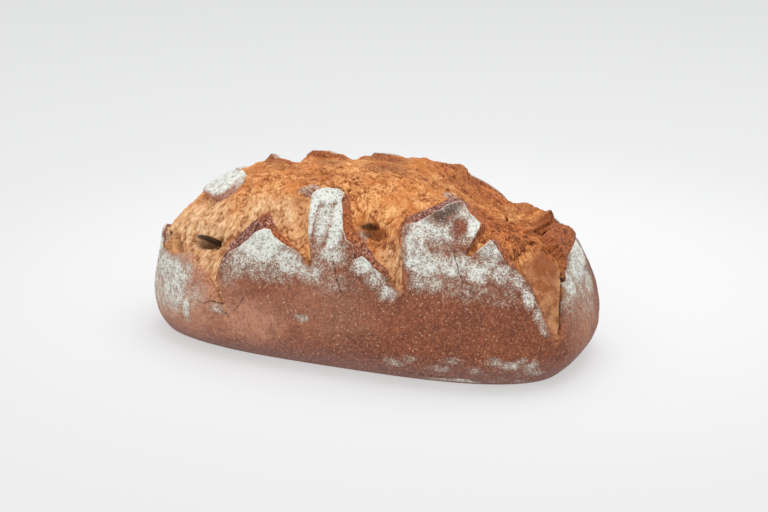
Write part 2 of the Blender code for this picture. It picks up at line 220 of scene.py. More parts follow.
def upright_sections(turn):
    """One row of points up the skin for each turn."""
    x, y = plan_outline(turn).T
    nx = signed_power(2 * x / LENGTH, PLAN_POWER - 1) / LENGTH
    ny = signed_power(2 * y / WIDTH, PLAN_POWER - 1) / WIDTH
    nx, ny = np.stack([nx, ny]) / np.hypot(nx, ny)
    left, right, side = np.clip(-nx, 0, 1) ** 2, np.clip(nx, 0, 1) ** 2, ny**2
    inset = left * INSET_LEFT + right * INSET_RIGHT + side * INSET_SIDE
    power = left * SHOULDER_LEFT + right * SHOULDER_RIGHT + side * SHOULDER_SIDE
    spine = SPINE_REACH * np.tanh(SPINE_SPREAD * x / SPINE_REACH)
    drop = np.where(spine < 0, RIDGE_DROP_LEFT, RIDGE_DROP_RIGHT)
    ridge = RIDGE_HEIGHT - drop * (spine / SPINE_REACH) ** 2
    rows = []
    for z in np.linspace(0, BELLY_HEIGHT, WALL_STEPS, endpoint=False):
        tuck = inset * np.clip(1 - z / BASE_ROUND, 0, 1) ** TUCK_POWER
        rows.append(np.stack([x - nx * tuck, y - ny * tuck, np.full_like(x, z)], -1))
    for swing in np.linspace(0, np.pi / 2, ARCH_STEPS):
        out = np.clip(np.cos(swing), 0, 1) ** (2 / power)
        z = BELLY_HEIGHT + (ridge - BELLY_HEIGHT) * np.sin(swing) ** (2 / CROWN_POWER)
        rows.append(np.stack([spine + (x - spine) * out, y * out, z], -1))
    return np.array(rows).transpose(1, 0, 2)


def evened(sections):
    """Each section with its points spaced evenly, and the length of each section."""
    steps = np.linalg.norm(np.diff(sections, axis=1), axis=-1)
    climbed = np.concatenate([np.zeros((len(sections), 1)), np.cumsum(steps, 1)], 1)
    wanted = np.linspace(0, 1, TABLE_ROWS)
    points = np.empty((len(sections), TABLE_ROWS, 3))
    for column, (section, climb) in enumerate(zip(sections, climbed)):
        for axis in range(3):
            points[column, :, axis] = np.interp(wanted * climb[-1], climb, section[:, axis])
    return points, climbed[:, -1]


columns = np.linspace(0, GIRTH, TABLE_COLUMNS, endpoint=False)
form_points, skin_heights = evened(upright_sections(np.interp(columns, travelled, all_turns)))
print("rise to the ridge, mm:", np.round([skin_heights.min() / MM, skin_heights.max() / MM]))

# %% Read the form anywhere


def outward_normals(points):
    """Unit normals of the form, straight up along the ridge."""
    round_loaf = np.roll(points, -1, 0) - np.roll(points, 1, 0)
    normals = np.cross(round_loaf, np.gradient(points, axis=1))
    normals[:, -1] = (0, 0, 1)
    return normals / np.linalg.norm(normals, axis=-1, keepdims=True)


def read_table(table, girth, share):
    """A bilinear reading of a table of columns round the loaf and rows up the skin."""
    column = np.mod(girth / GIRTH, 1) * len(table)
    row = np.clip(share, 0, 1) * (table.shape[1] - 1)
    c, r = column.astype(int), np.minimum(row.astype(int), table.shape[1] - 2)
    s, t = (column - c)[:, None], (row - r)[:, None]
    here, beyond = c % len(table), (c + 1) % len(table)
    low = table[here, r] * (1 - s) + table[beyond, r] * s
    high = table[here, r + 1] * (1 - s) + table[beyond, r + 1] * s
    return low * (1 - t) + high * t


def skin_height(girth):
    """Distance up the skin from the base edge to the ridge."""
    return np.interp(np.mod(girth, GIRTH), columns, skin_heights, period=GIRTH)


form_normals = outward_normals(form_points)


def place_on_form(girth, rise):
    """Points of the form and the normals there."""
    share = rise / skin_height(girth)
    normals = read_table(form_normals, girth, share)
    normals /= np.linalg.norm(normals, axis=-1, keepdims=True)
    return read_table(form_points, girth, share), normals


front_middle, _ = place_on_form(np.array([549 * MM]), np.array([60 * MM]))
print("front wall at mid height, mm:", np.round(front_middle / MM))

# %% [markdown]
# The crust tore along one long ragged line, with peaks, a strap and notches. The line is kept as
# its corners: girth, rise, how far the edge lifted off the loaf, and how broad the torn rim above
# it is, all in millimetres. They are the solid's corners, and a few of them, at the right end,
# behind and on the left shoulder, are moved some millimetres to sit closer to the real edge. Fine
# notches are added with noise, because no real tear is straight between its corners.

# %% The torn edge, corner by corner
RIGHT_END_BACK = [
    (0, 76.5, 2.2, 9), (10, 77.5, 2.7, 9), (20, 78.5, 3, 8), (32, 79, 3, 6), (44, 76, 2.5, 4),
]
BACK_FLAPS = [
    (50, 66, 1.5, 2), (58, 80, 2, 2), (53, 97, 3, 4), (59, 109, 4.5, 4), (66, 96, 3.5, 6),
    (75, 79, 2, 5), (87, 66, 1.5, 3), (96, 70, 1.5, 2), (106, 88, 2.5, 2), (113, 108, 3.5, 3),
    (121, 123, 5, 3), (127, 132, 8, 3), (132, 118, 5, 6), (138, 99, 3, 5), (146, 80, 2, 4),
    (156, 68, 1.5, 2), (165, 84, 2, 2), (170, 107, 2.5, 2.5), (176, 127, 3, 3), (180, 142, 2.5, 3),
    (190, 141, 2, 4), (197, 122, 1.5, 6), (204, 103, 2, 6), (213, 87, 1.5, 3), (220, 104, 1.5, 2),
    (222, 125, 1.5, 3), (225, 139, 3, 4), (234, 144, 4.5, 4), (241, 137, 2, 5), (246, 119, 1.5, 7),
    (256, 98, 1.5, 6), (266, 79, 1.5, 4), (272, 77, 1.5, 2), (277, 96, 2.5, 2), (273, 117, 4, 3),
    (277, 134, 5, 3), (284, 117, 4, 6), (292, 98, 3, 6), (302, 80, 1.5, 3),
]
LEFT_END = [
    (312, 84, 1.5, 2), (330, 80, 1.5, 2), (344, 72, 1.5, 2), (356, 61, 1.5, 3), (368, 58, 2, 3),
    (380, 60, 2.5, 3), (389, 64, 4, 3), (396, 66, 5.5, 3), (402, 64, 5.5, 3), (404, 59, 3.5, 3),
    (407, 54, 2, 2), (413, 58, 1.5, 2), (428, 59, 1.5, 2), (439, 62, 2, 2), (445, 65, 2, 2),
    (453, 60, 1.5, 2), (462, 56, 1.5, 2), (465, 53, 1, 2), (470, 49, 1, 2), (474, 43, 1, 1.5),
    (478, 36, 1, 1.5), (481, 32, 0.5, 1.5), (483, 37, 1, 1.5), (480, 44, 1, 2), (476, 50, 1, 3),
]
FRONT_PEAK = [
    (473, 55, 1.5, 5), (476, 66, 2.5, 7), (480, 71, 3, 9), (487, 76, 3.5, 10), (492, 81, 4, 11),
    (496, 85, 4.5, 11), (502, 88, 5, 11), (506, 88, 4.5, 9), (509, 85, 4, 8), (515, 82, 3.5, 8),
    (520, 80, 3, 7), (525, 78, 2.5, 6), (530, 75, 2, 5), (533, 71, 1.5, 4), (536, 70, 1.5, 3),
]
FRONT_STRAP = [
    (534, 82, 2, 1.5), (531, 90, 2, 1.5), (529, 98, 2.5, 1.5), (527, 106, 2.5, 1.5),
    (526, 113, 3, 1.5), (528, 117, 3, 1.5), (535, 120, 3, 1.5), (542, 119, 3, 2), (547, 117, 3, 4),
    (547, 112, 3, 5), (549, 106, 3, 6), (551, 100, 3, 6), (553, 94, 3, 6), (556, 89, 3, 7),
    (559, 87, 3, 8), (561, 86, 2.5, 6), (562, 81, 2, 3), (562, 77, 1.5, 2),
]
FRONT_SMALL_FLAP = [
    (568, 80, 3.5, 6), (572, 78, 3, 6), (577, 74, 2.5, 6), (582, 71, 2, 5), (586, 68, 1.5, 4),
    (589, 65, 1.5, 3), (594, 62, 1, 2),
]
FRONT_BROAD_FLAP = [
    (597, 65, 1, 1.5), (594, 78, 1.5, 1.5), (592, 87, 2, 1.5), (590, 96, 2.5, 2), (591, 101, 3.5, 6),
    (598, 103, 3.5, 8), (603, 107, 3.5, 9), (608, 111, 4, 9), (612, 114, 4, 9), (617, 119, 4.5, 8),
    (625, 122, 5, 8), (629, 118, 5, 10), (634, 112, 5, 10), (643, 106, 5, 8), (641, 102, 4, 2),
    (637, 96, 3, 1.5), (634, 91, 2, 1.5), (632, 86, 1.5, 1.5),
]
FRONT_RIGHT_PEAK = [
    (637, 86, 2, 1.5), (640, 89, 2.5, 1.5), (646, 93, 3.5, 2), (650, 95, 4.5, 6), (654, 92, 4, 7),
    (657, 87, 3, 6), (661, 81, 2, 5), (667, 78, 1.5, 4), (671, 74, 1, 3), (675, 69, 1, 2.5),
    (677, 64, 1, 2), (678, 57, 1, 2), (680, 52, 1, 2), (683, 45, 1, 2), (686, 38, 1, 2),
    (689, 32, 0.5, 1.5),
]
RIGHT_END_FRONT = [
    (696, 38, 0.5, 2), (698.5, 44, 0.5, 2), (700.5, 51, 0.5, 2), (706, 62, 0.7, 2), (712, 70, 1, 7),
    (717, 73, 1.5, 9), (726, 76, 2.2, 10),
]
TORN_EDGE = (
    RIGHT_END_BACK + BACK_FLAPS + LEFT_END + FRONT_PEAK + FRONT_STRAP
    + FRONT_SMALL_FLAP + FRONT_BROAD_FLAP + FRONT_RIGHT_PEAK + RIGHT_END_FRONT
)
TONGUE = [
    (346, 70, 1.5, 2), (344, 84, 1.5, 2), (352, 94, 1.5, 2), (368, 99, 1.5, 2), (385, 99, 1.5, 2),
    (405, 100, 1.5, 2), (429, 102, 1.2, 2), (440, 101, 1, 2), (449, 105, 1, 2), (453, 111, 1, 2),
    (452, 117, 1.2, 2), (449, 123, 1.5, 2), (444, 127, 1.5, 2), (434, 129, 1.5, 2),
    (420, 126, 1.5, 2), (395, 120, 1.5, 2), (360, 116, 1.5, 2), (325, 114, 1.5, 2), (306, 108, 2, 2),
    (308, 84, 1.5, 2), (312, 74, 1.5, 2),
]
print(len(TORN_EDGE), "corners round the loaf and", len(TONGUE), "round the tongue")

# %% Walk along the edge and roughen it
EDGE_STEP, LINE_STEP = 0.3 * MM, 0.8 * MM
OVERRUN = 5 * MM
NOTCHES, NOTCH_CELLS = 0.75 * MM, 170
NICKS, NICK_CELLS = 0.3 * MM, 520


def noise_at(points, cells, shift=0):
    """Smooth noise between about -1 and 1, with so many cells a metre along each axis."""
    return np.array([noise.noise(Vector(p)) for p in points * np.array(cells) + shift])


def walk(corners, step):
    """Points at even steps along a line of corners, whose first two values are a place."""
    corners = np.array(corners, float)
    lengths = np.hypot(*np.diff(corners[:, :2], axis=0).T)
    far = np.concatenate([[0], np.cumsum(lengths)])
    stops = np.linspace(0, far[-1], max(2, int(far[-1] / step)))
    return np.stack([np.interp(stops, far, values) for values in corners.T], -1)


def roughened(line):
    """The edge's points moved a little in girth and rise, most where the crust lifted."""
    points, _ = place_on_form(line[:, 0], np.clip(line[:, 1], 0, skin_height(line[:, 0])))
    for axis, shift in ((0, 11), (1, 23)):
        notches = NOTCHES * noise_at(points, [NOTCH_CELLS] * 3, shift)
        line[:, axis] += notches + NICKS * noise_at(points, [NICK_CELLS] * 3, shift)
    return line


def edge_outlines():
    """The torn edge's loop, the wall under it and the tongue, as rows in metres."""
    loop = np.array(TORN_EDGE) * MM
    loop = walk(np.concatenate([loop, loop[:1] + (GIRTH, 0, 0, 0)]), EDGE_STEP)
    loop = roughened(loop)
    tongue = roughened(walk(np.array(TONGUE) * MM, EDGE_STEP))
    low, past = -OVERRUN, GIRTH + OVERRUN
    start, end = (low, loop[0, 1], 0, 0), (past, loop[-1, 1], 0, 0)
    wall = np.array([(low, low, 0, 0), (past, low, 0, 0), end, *loop[::-1], start])
    return loop, wall, tongue


edge_loop, wall_outline, tongue_outline = edge_outlines()
print(len(edge_loop) + len(tongue_outline), "points along the torn edge")

# %% Tell crust from crumb


def inside(places, outline):
    """Whether each (girth, rise) place lies inside a closed outline, by counting crossings."""
    x, y = places.T
    crossed = np.zeros(len(places), bool)
    for (ax, ay), (bx, by) in zip(outline[:, :2], np.roll(outline[:, :2], -1, 0)):
        if ay != by:
            near = np.flatnonzero((ay > y) != (by > y))
            crossed[near] ^= x[near] < ax + (y[near] - ay) * (bx - ax) / (by - ay)
    return crossed


def is_crust(places):
    """Whether each place lies under the torn edge or on the tongue."""
    return inside(places, wall_outline) | inside(places, tongue_outline)


def edge_samples():
    """The whole torn edge as close points: girth, rise, lift and rim, all in metres."""
    main = edge_loop[~inside(edge_loop[:, :2], tongue_outline)]
    branch = tongue_outline[~inside(tongue_outline[:, :2], wall_outline)]
    branch = branch[branch[:, 1] < skin_height(branch[:, 0])]
    return np.concatenate([main, branch])


def tree_of(points):
    """A search tree over the points."""
    tree = kdtree.KDTree(len(points))
    for index, point in enumerate(points):
        tree.insert(point, index)
    tree.balance()
    return tree


def nearest(points, tree):
    """Index of the tree's nearest point to each point, and the distance to it."""
    index, distance = np.array([tree.find(point)[1:] for point in points]).T
    return index.astype(int), distance


samples = edge_samples()
edge_tree = tree_of(place_on_form(*samples[:, :2].T)[0])
print("edge length, mm:", round(len(samples) * EDGE_STEP / MM))

# %% [markdown]
# Above its torn edge the crust shows its thickness, as a rough band that rises to a ragged line
# of its own and then drops behind. Each band on the front is drawn as a region: its stand-off
# in millimetres at its upper line, the corners of that line, and corners that close it under the
# crust. Holes where large bubbles burst are drawn in the same way, with a depth.

# %% Torn rims and burst holes as regions
RIMS = [
    (2.2, [
        (473, 62), (477, 76), (482, 83), (487, 90), (492, 95), (495, 97), (498, 101), (501, 98),
        (504, 94), (509, 90), (514, 86), (520, 82.5), (526, 80), (532, 75), (536, 71),
    ], [(530, 66), (503, 72), (482, 60)]),
    (1.6, [
        (541, 121), (548, 118), (551, 114), (553, 109), (555, 104), (557, 99), (560, 95), (564, 92),
        (568, 88), (571, 85), (575, 81), (579, 78), (584, 75), (586, 71), (590, 65),
    ], [(580, 62), (564, 72), (552, 80), (543, 100), (538, 114)]),
    (2.4, [
        (592, 84), (588, 92), (586, 97), (587, 103), (589, 107), (593, 109), (597, 111), (601, 114),
        (605, 117), (609, 120), (613, 125), (618, 128), (624, 130), (630, 127), (636, 122),
        (642, 117), (647, 112), (648, 108), (645, 104), (641, 99),
    ], [(636, 96), (620, 108), (600, 98), (596, 86)]),
    (2.0, [
        (646, 94), (652, 99), (657, 97), (660, 94), (663, 90), (665, 86), (667, 82), (671, 77),
        (675, 71),
    ], [(668, 66), (655, 84), (648, 88)]),
    (5.5, [
        (707, 66), (711, 70.5), (715, 76), (714, 82), (712, 87), (715, 91), (724, 94), (733, 95.5),
        (744, 97), (753, 96), (763, 93), (772, 87), (779, 78),
    ], [(776, 66), (732, 60), (716, 62), (709, 62)]),
]
HOLES = [
    (6.5, [
        (443, 72), (446, 75), (450, 76.5), (455, 76.5), (460, 77.5), (465, 79), (470, 80),
        (469, 76.5), (463, 73), (457, 70.5), (452, 68.5), (447, 69),
    ]),
    (5.0, [(418, 70), (425, 72), (431, 69), (437, 64), (434, 60.5), (427, 60.5), (418, 61)]),
    (3.5, [(562, 97), (566, 100), (571, 102), (577, 99), (580, 95), (574, 92), (567, 93)]),
    (2.2, [(686, 101.5), (689, 104), (694, 103.5), (700, 99.5), (695, 99.5), (689, 101)]),
    (2.2, [(682, 94), (687, 96.5), (695, 95), (706, 89), (697, 91.5), (688, 93)]),
    (2.5, [(666, 93.5), (668, 95), (670, 93.5), (669, 91.3)]),
    (2.0, [(670.6, 91.5), (672.3, 92.6), (673, 90.5), (671.3, 89.6)]),
    (2.2, [(613, 135), (614, 137.3), (615.6, 136.5), (615, 134.6)]),
    (2.0, [(616, 140), (617.5, 142), (618.6, 141), (617.5, 139.4)]),
    (1.8, [(614, 132), (615.5, 133.6), (616.5, 132.5), (615.2, 131.2)]),
]


def region(places, points, outer, inner=()):
    """Distance in from a region's outer line, negative outside the region."""
    line = roughened(walk(np.array(outer) * MM, EDGE_STEP))
    loop = np.concatenate([line, np.array(inner).reshape(-1, 2) * MM])
    within = inside(places, loop) | inside(places + (GIRTH, 0), loop)
    _, away = nearest(points, tree_of(place_on_form(line[:, 0], line[:, 1])[0]))
    return np.where(within, away, -away)


print(len(RIMS), "torn rims and", len(HOLES), "holes")

# %% [markdown]
# How far the skin stands off the dough form is worked out as for the solid: lifted along the
# tears, easing back to the wall below them, and sunken where the crumb starts. On the crust that
# lift is first evened out in a coarse table, so that no crease runs down the wall where two
# stretches of the torn edge are equally near.

# %% The crust's lift, evened out over the wall
FLAP_REACH = 15 * MM
CRUST_SWELL, SWELL_CELLS = 0.5 * MM, [30, 30, 30]
LIFT_COLUMNS, LIFT_ROWS, LIFT_PASSES = 480, 92, 90
LIFT_HOLD = 0.85 * MM


def lift_table():
    """Stand-off of the crust in columns round the loaf and rows up the skin."""
    girth, share = np.meshgrid(
        np.linspace(0, GIRTH, LIFT_COLUMNS, endpoint=False), np.linspace(0, 1, LIFT_ROWS), indexing="ij"
    )
    points = read_table(form_points, girth.ravel(), share.ravel())
    index, gap = nearest(points, edge_tree)
    height = (samples[index, 2] * np.exp(-gap / FLAP_REACH)).reshape(girth.shape)
    free = (gap > LIFT_HOLD).reshape(girth.shape)
    free[:, [0, -1]] = False
    for _ in range(LIFT_PASSES):
        beside = np.roll(height, 1, 0) + np.roll(height, -1, 0)
        along = np.roll(height, 1, 1) + np.roll(height, -1, 1)
        height = np.where(free, (beside + along) / 4, height)
    return height[..., None]


crust_lift = lift_table()
print("greatest lift, mm:", round(crust_lift.max() / MM, 1))

# %% Grooves and ridges that follow a line
LOAF_LINES = [
    (26.0, -5.0, [(125, 143), (80, 128), (62, 118)]),
]
CRUMB_LINES = [
    (3.2, -7.0, [(452, 73), (463, 74)]),
    (4.5, -5.5, [(563, 97), (576, 93)]),
    (3.2, 3.0, [(515, 110), (520, 117), (529, 122), (539, 123)]),
    (4.0, 2.5, [(611, 123), (621, 129), (632, 130)]),
    (17.0, -4.5, [(655, 125), (680, 118), (700, 114)]),
    (9.0, 1.8, [(683, 60), (690, 72), (700, 84)]),
    (8.5, 7.0, [(154, 147), (147, 143), (140, 138), (133, 135), (128, 134)]),
    (6.5, -3.4, [(249, 150), (250, 140), (254, 128), (258, 116)]),
    (4.5, -2.6, [(203, 152), (206, 140), (210, 128)]),
    (6.5, 5.0, [(66, 111), (54, 106), (45, 103), (32, 103), (18, 97)]),
]
EAR_CRACK = [
    (709, 88), (711.5, 82), (712.5, 76), (709, 69.5), (704.5, 63), (701.5, 57), (699, 51), (697, 44),
    (694.5, 38),
]
FINE_CRUMB_LINES = [
    (1.3, -3.5, EAR_CRACK),
    (1.0, -1.8, [(443, 63), (447, 62), (450, 59)]),
    (1.2, -1.6, [(672, 118), (690, 114), (705, 108), (715, 101), (719, 95)]),
    (2.0, 1.6, [(676, 96), (690, 96), (703, 91)]),
    (3.0, 1.8, [(440, 84), (452, 85), (466, 86)]),
    (2.5, -1.8, [(196, 150), (201, 141), (207, 132)]),
    (2.0, 3.0, [(7, 113), (10, 110)]),
    (3.0, 4.2, [(26, 102), (30, 99)]),
    (1.6, -2.5, [(15, 106), (16, 102)]),
    (1.5, -2.5, [(27, 99), (22, 97)]),
    (2.2, 2.0, [(177, 149), (184, 146)]),
    (1.8, 2.2, [(222, 146), (232, 147)]),
]


def line_distance(points, corners):
    """Distance from each point to a line of (girth, rise) corners in millimetres."""
    line = walk(np.array(corners) * MM, LINE_STEP)
    return nearest(points, tree_of(place_on_form(line[:, 0], line[:, 1])[0]))[1]


def line_relief(points, lines):
    """Height that the grooves and ridges add at each point."""
    height = np.zeros(len(points))
    for breadth, amount, corners in lines:
        away = line_distance(points, corners) / (breadth * MM)
        height += amount * MM * np.exp(-(away**2))
    return height


print(len(CRUMB_LINES) + len(FINE_CRUMB_LINES), "grooves and ridges in the crumb")

# %% [markdown]
# Flour, scorching and the paler dough aren't even, and nor are the painted highlight and painted
# shade laid among them. A baker would dust and brush the colours on, and so does this script: each
# is a list of soft oval dabs laid on the loaf, given by girth, rise, the two half breadths and an
# amount. Noise bends the ovals, so that no dab shows its outline.

# %% Dabs of flour and colour
FLOUR_DABS = [
    (501, 78, 17, 12, 0.88), (489, 66, 10, 8, 0.65), (483, 60, 8, 9, 0.38), (521, 71, 12, 8, 0.75),
    (505, 64, 24, 7, 0.5), (536, 68, 11, 8, 0.62), (530, 101, 4, 20, 1), (548, 95, 5, 22, 1),
    (536, 114, 10, 6, 1), (539, 98, 6, 16, 0.78), (548, 79, 10, 8, 0.7), (569, 75, 8, 7, 0.75),
    (578, 68, 7, 6, 0.65), (586, 61, 6, 5, 0.7), (552, 62, 18, 8, 0.35), (600, 92, 9, 11, 0.8),
    (606, 80, 15, 9, 0.8), (626, 80, 14, 8, 0.75), (638, 104, 7, 9, 0.85), (616, 104, 22, 14, 0.82),
    (612, 70, 13, 7, 0.6), (649, 85, 9, 9, 0.66), (642, 77, 10, 7, 0.8), (656, 76, 9, 7, 0.7),
    (667, 72, 6, 7, 0.7), (673, 62, 5, 7, 0.75), (679, 52, 4, 7, 0.7), (682, 44, 4, 7, 0.55),
    (634, 66, 24, 7, 0.36), (654, 64, 20, 7, 0.32), (0, 66, 16, 11, 0.85), (8, 57, 12, 11, 0.7),
    (14, 72, 16, 10, 0.9), (724, 56, 12, 13, 0.5), (713, 62, 10, 9, 0.8), (706, 54, 8, 9, 0.5),
    (712, 46, 14, 10, 0.3), (0, 46, 16, 12, 0.42), (425, 50, 22, 12, 0.78), (442, 50, 7, 5, 0.85),
    (450, 31, 5, 8, 0.75), (432, 34, 18, 12, 0.6), (438, 49, 16, 12, 0.8), (446, 54, 10, 8, 0.6),
    (436, 38, 20, 14, 0.72), (457, 41, 11, 9, 0.45), (420, 34, 26, 16, 0.62), (408, 38, 20, 16, 0.66),
    (396, 50, 20, 14, 0.8), (368, 46, 22, 14, 0.7), (478, 37, 7, 3, 0.6), (533, 39, 5, 3, 0.62),
    (652, 25, 6, 3, 0.55), (661, 22, 6, 3.5, 0.72), (666, 24.5, 4, 3, 0.55), (673, 20, 5, 4, 0.6),
    (676, 14, 6, 3, 0.5), (641, 18, 6, 3.5, 0.42), (653, 7, 9, 4, 0.36), (668, 5, 7, 4, 0.4),
    (656, 15, 24, 9, 0.18), (626, 4.5, 20, 2.4, 0.75), (620, 20, 56, 5, 0.08), (592, 19, 8, 4, 0.5),
    (602, 23, 5, 3, 0.45), (627, 24, 7, 3, 0.42), (619, 18, 7, 3, 0.45), (437, 108, 20, 13, 1),
    (449, 128, 16, 24, 1), (310, 128, 16, 22, 1), (455, 150, 20, 20, 1), (325, 102, 18, 16, 0.9),
    (340, 66, 26, 12, 0.75), (280, 108, 10, 14, 0.85), (385, 106, 34, 12, 0.95),
    (232, 128, 14, 18, 0.9), (180, 124, 12, 20, 0.9), (122, 112, 12, 18, 0.9), (60, 92, 10, 16, 0.85),
    (100, 60, 24, 8, 0.4), (200, 30, 20, 9, 0.35), (262, 60, 26, 10, 0.4), (40, 24, 14, 8, 0.4),
]
BARE_DABS = [
    (612, 108, 11, 6, 0.55), (626, 103, 6, 6, 0.75), (624, 94, 3, 4, 0.25), (399, 64, 6, 4, 0.8),
]
SCORCH_DABS = [
    (612, 110, 9, 6, 1), (619, 115, 8, 6, 1), (604, 105, 6, 4, 0.8), (625, 116, 5, 4, 0.8),
    (622, 108, 5, 5, 0.7), (648, 88, 7, 5, 0.7), (656, 84, 6, 5, 0.6), (499, 82, 9, 5, 0.5),
]
# Paler dough; the first dab, on the lower left wall, is a painted broad highlight.
PALE_AND_LIT_CRUST_DABS = [
    (497, 32, 26, 15, 0.8), (455, 26, 22, 14, 0.8), (420, 30, 30, 20, 0.8), (728, 40, 20, 20, 0.6),
    (714, 42, 16, 22, 0.45), (470, 44, 10, 10, 0.9), (448, 56, 20, 12, 1), (458, 40, 14, 14, 1),
    (430, 24, 18, 12, 1), (400, 26, 36, 22, 1), (440, 20, 24, 14, 0.8), (545, 46, 34, 20, 0.32),
    (487, 44, 14, 14, 0.4), (370, 34, 30, 22, 0.6), (150, 40, 40, 16, 0.4), (280, 36, 36, 16, 0.5),
]
TAN_DABS = [
    (446, 82, 34, 20, 0.95), (476, 52, 9, 15, 1), (462, 62, 14, 10, 0.9), (592, 76, 9, 17, 0.8),
    (500, 100, 26, 12, 0.75), (486, 90, 14, 9, 0.8), (522, 98, 8, 18, 0.5), (586, 84, 9, 9, 0.7),
    (412, 74, 20, 14, 0.8), (360, 80, 22, 14, 0.7), (700, 46, 8, 10, 0.5), (686, 44, 7, 10, 0.8),
    (90, 80, 9, 12, 0.5), (156, 84, 8, 14, 0.6), (208, 100, 8, 14, 0.6), (262, 92, 8, 14, 0.6),
]
DEEP_DABS = [
    (690, 108, 46, 20, 1), (655, 124, 40, 24, 1), (100, 120, 34, 18, 1), (20, 96, 40, 12, 1),
    (60, 118, 24, 14, 0.5), (572, 93, 15, 8, 0.55), (520, 132, 26, 10, 0.45), (600, 146, 40, 9, 0.4),
    (460, 126, 22, 14, 0.4), (230, 146, 40, 8, 1), (130, 140, 44, 8, 0.7), (690, 79, 13, 10, 1),
    (184, 143, 24, 8, 1), (10, 92, 34, 10, 1), (276, 134, 14, 8, 0.9), (486, 140, 12, 8, 0.5),
    (700, 82, 12, 8, 1), (712, 84, 14, 10, 1),
]
SKIN_DABS = [
    (690, 64, 14, 24, 1), (684, 50, 10, 18, 1), (682, 76, 12, 10, 0.7),
]
CURL_DABS = [
    (521, 118, 9, 4, 1), (616, 136, 6, 7, 0.9), (563, 93, 5, 7, 0.6), (401, 60, 7, 6, 0.9),
]
SOFT_DABS = [
    (452, 60, 12, 8, 1), (463, 54, 10, 10, 1), (470, 44, 7, 12, 1), (440, 60, 8, 5, 0.7),
    (597, 68, 8, 8, 0.9), (593, 88, 4, 12, 0.5), (686, 40, 8, 14, 0.9), (692, 40, 6, 12, 0.9),
    (528, 72, 9, 6, 0.6), (436, 101, 24, 6, 1), (380, 98, 40, 6, 0.8), (450, 107, 7, 10, 0.9),
    (236, 143, 26, 12, 0.85), (186, 141, 18, 12, 0.8), (428, 62, 12, 6, 0.8), (424, 56, 14, 5, 0.5),
]
RUST_DABS = [
    (516, 84, 14, 14, 1), (556, 100, 12, 22, 1), (640, 112, 12, 14, 1), (590, 92, 6, 14, 0.7),
    (662, 88, 8, 12, 0.8), (732, 90, 40, 22, 1), (20, 96, 40, 24, 1), (100, 110, 60, 60, 1),
    (220, 120, 90, 60, 1), (700, 55, 10, 22, 1), (580, 76, 12, 10, 0.5), (712, 80, 14, 14, 1),
    (497, 98, 5, 6, 0.8),
]
BAKED_DABS = [
    (226, 142, 18, 7, 0.9), (178, 149, 18, 10, 1), (20, 99, 26, 7, 0.8), (276, 130, 10, 10, 0.8),
    (120, 132, 24, 8, 0.5), (66, 112, 14, 8, 0.6), (732, 92, 24, 5, 0.5), (561, 151, 17, 7, 0.95),
    (517, 150, 14, 5, 0.8), (268, 142, 14, 6, 0.8), (282, 130, 8, 9, 0.8), (131, 129, 8, 6, 0.9),
    (475, 142, 10, 5, 0.7),
]
SHADE_DABS = [
    (457, 76, 12, 1.9, 1.3), (424, 67.5, 5, 3, 0.9), (413, 66, 2, 4, 0.9), (461, 56, 1.5, 5, 0.6),
    (566, 100, 7, 1.6, 0.9), (676, 99, 5, 1.2, 0.7), (694, 102.5, 7, 1.2, 0.9),
    (694, 94.3, 9, 1.2, 0.8), (731, 84, 4, 3, 0.7), (19, 87, 6, 2, 0.7), (27, 101, 5, 2, 0.7),
    (10, 108, 4, 2, 0.7), (615, 134, 1.6, 1.4, 1), (617.3, 140.6, 1.2, 1.2, 0.9),
    (672, 90, 1.6, 1.4, 0.8), (668, 92.5, 1.3, 1.2, 0.8),
]
CRUST_TINTS = [("soft", SOFT_DABS), ("scorch", SCORCH_DABS), ("pale", PALE_AND_LIT_CRUST_DABS)]
CRUMB_TINTS = [
    ("soft", SOFT_DABS), ("rust", RUST_DABS), ("tan", TAN_DABS), ("deep", DEEP_DABS),
    ("baked", BAKED_DABS), ("curl", CURL_DABS),
]
DAB_BEND, BEND_CELLS, DAB_FADE = 2 * MM, [110, 110, 110], 1.5


def bent(places, points):
    """The places pushed about by noise, for outlines that wander."""
    push = [noise_at(points, BEND_CELLS, shift) for shift in (31, 47)]
    return places + DAB_BEND * np.stack(push, -1)


def painted(dabs, places):
    """The strongest dab at each place, full in its middle and gone just past its edge."""
    value = np.zeros(len(places))
    for girth, rise, half_girth, half_rise, amount in dabs:
        along = np.mod(places[:, 0] / MM - girth + GIRTH / MM / 2, GIRTH / MM) - GIRTH / MM / 2
        reach = np.hypot(along / half_girth, (places[:, 1] / MM - rise) / half_rise)
        value = np.maximum(value, amount * np.clip(DAB_FADE - reach, 0, 1))
    return value


print(len(FLOUR_DABS), "dabs of flour")

# %% [markdown]
# Both skins start as one fine flat grid, with the girth along X and the share of the rise along
# Y. Faces on the wrong side of the tear are deleted, and the rest is rolled round the loaf. This
# keeps Blender's own grid operator in charge of the faces, and a torn outline comes out crisp,
# because the points along it are moved right onto the tear.

# %% A flat grid, trimmed to the tear
SEAM, ROW_LIMIT = 0.01 * MM, 1e-6
SMOOTH_PASSES = 4


def flat_grid(spacing, lowest):
    """A grid of the loaf's girth by the share of its rise, from a lowest share up to the ridge."""
    across = int(GIRTH / spacing)
    upward = int((1 - lowest) * skin_heights.mean() / spacing)
    bm = bmesh.new()
    bmesh.ops.create_grid(bm, x_segments=across, y_segments=upward, size=0.5)
    bmesh.ops.translate(bm, vec=(0.5, 0.5, 0), verts=bm.verts)
    bmesh.ops.scale(bm, vec=(GIRTH, 1 - lowest, 1), verts=bm.verts)
    bmesh.ops.translate(bm, vec=(0, lowest, 0), verts=bm.verts)
    return bm


def places_of(flat):
    """Girth and rise of points of the flat grid."""
    flat = np.array(flat)[:, :2]
    flat[:, 1] *= skin_height(flat[:, 0])
    return flat


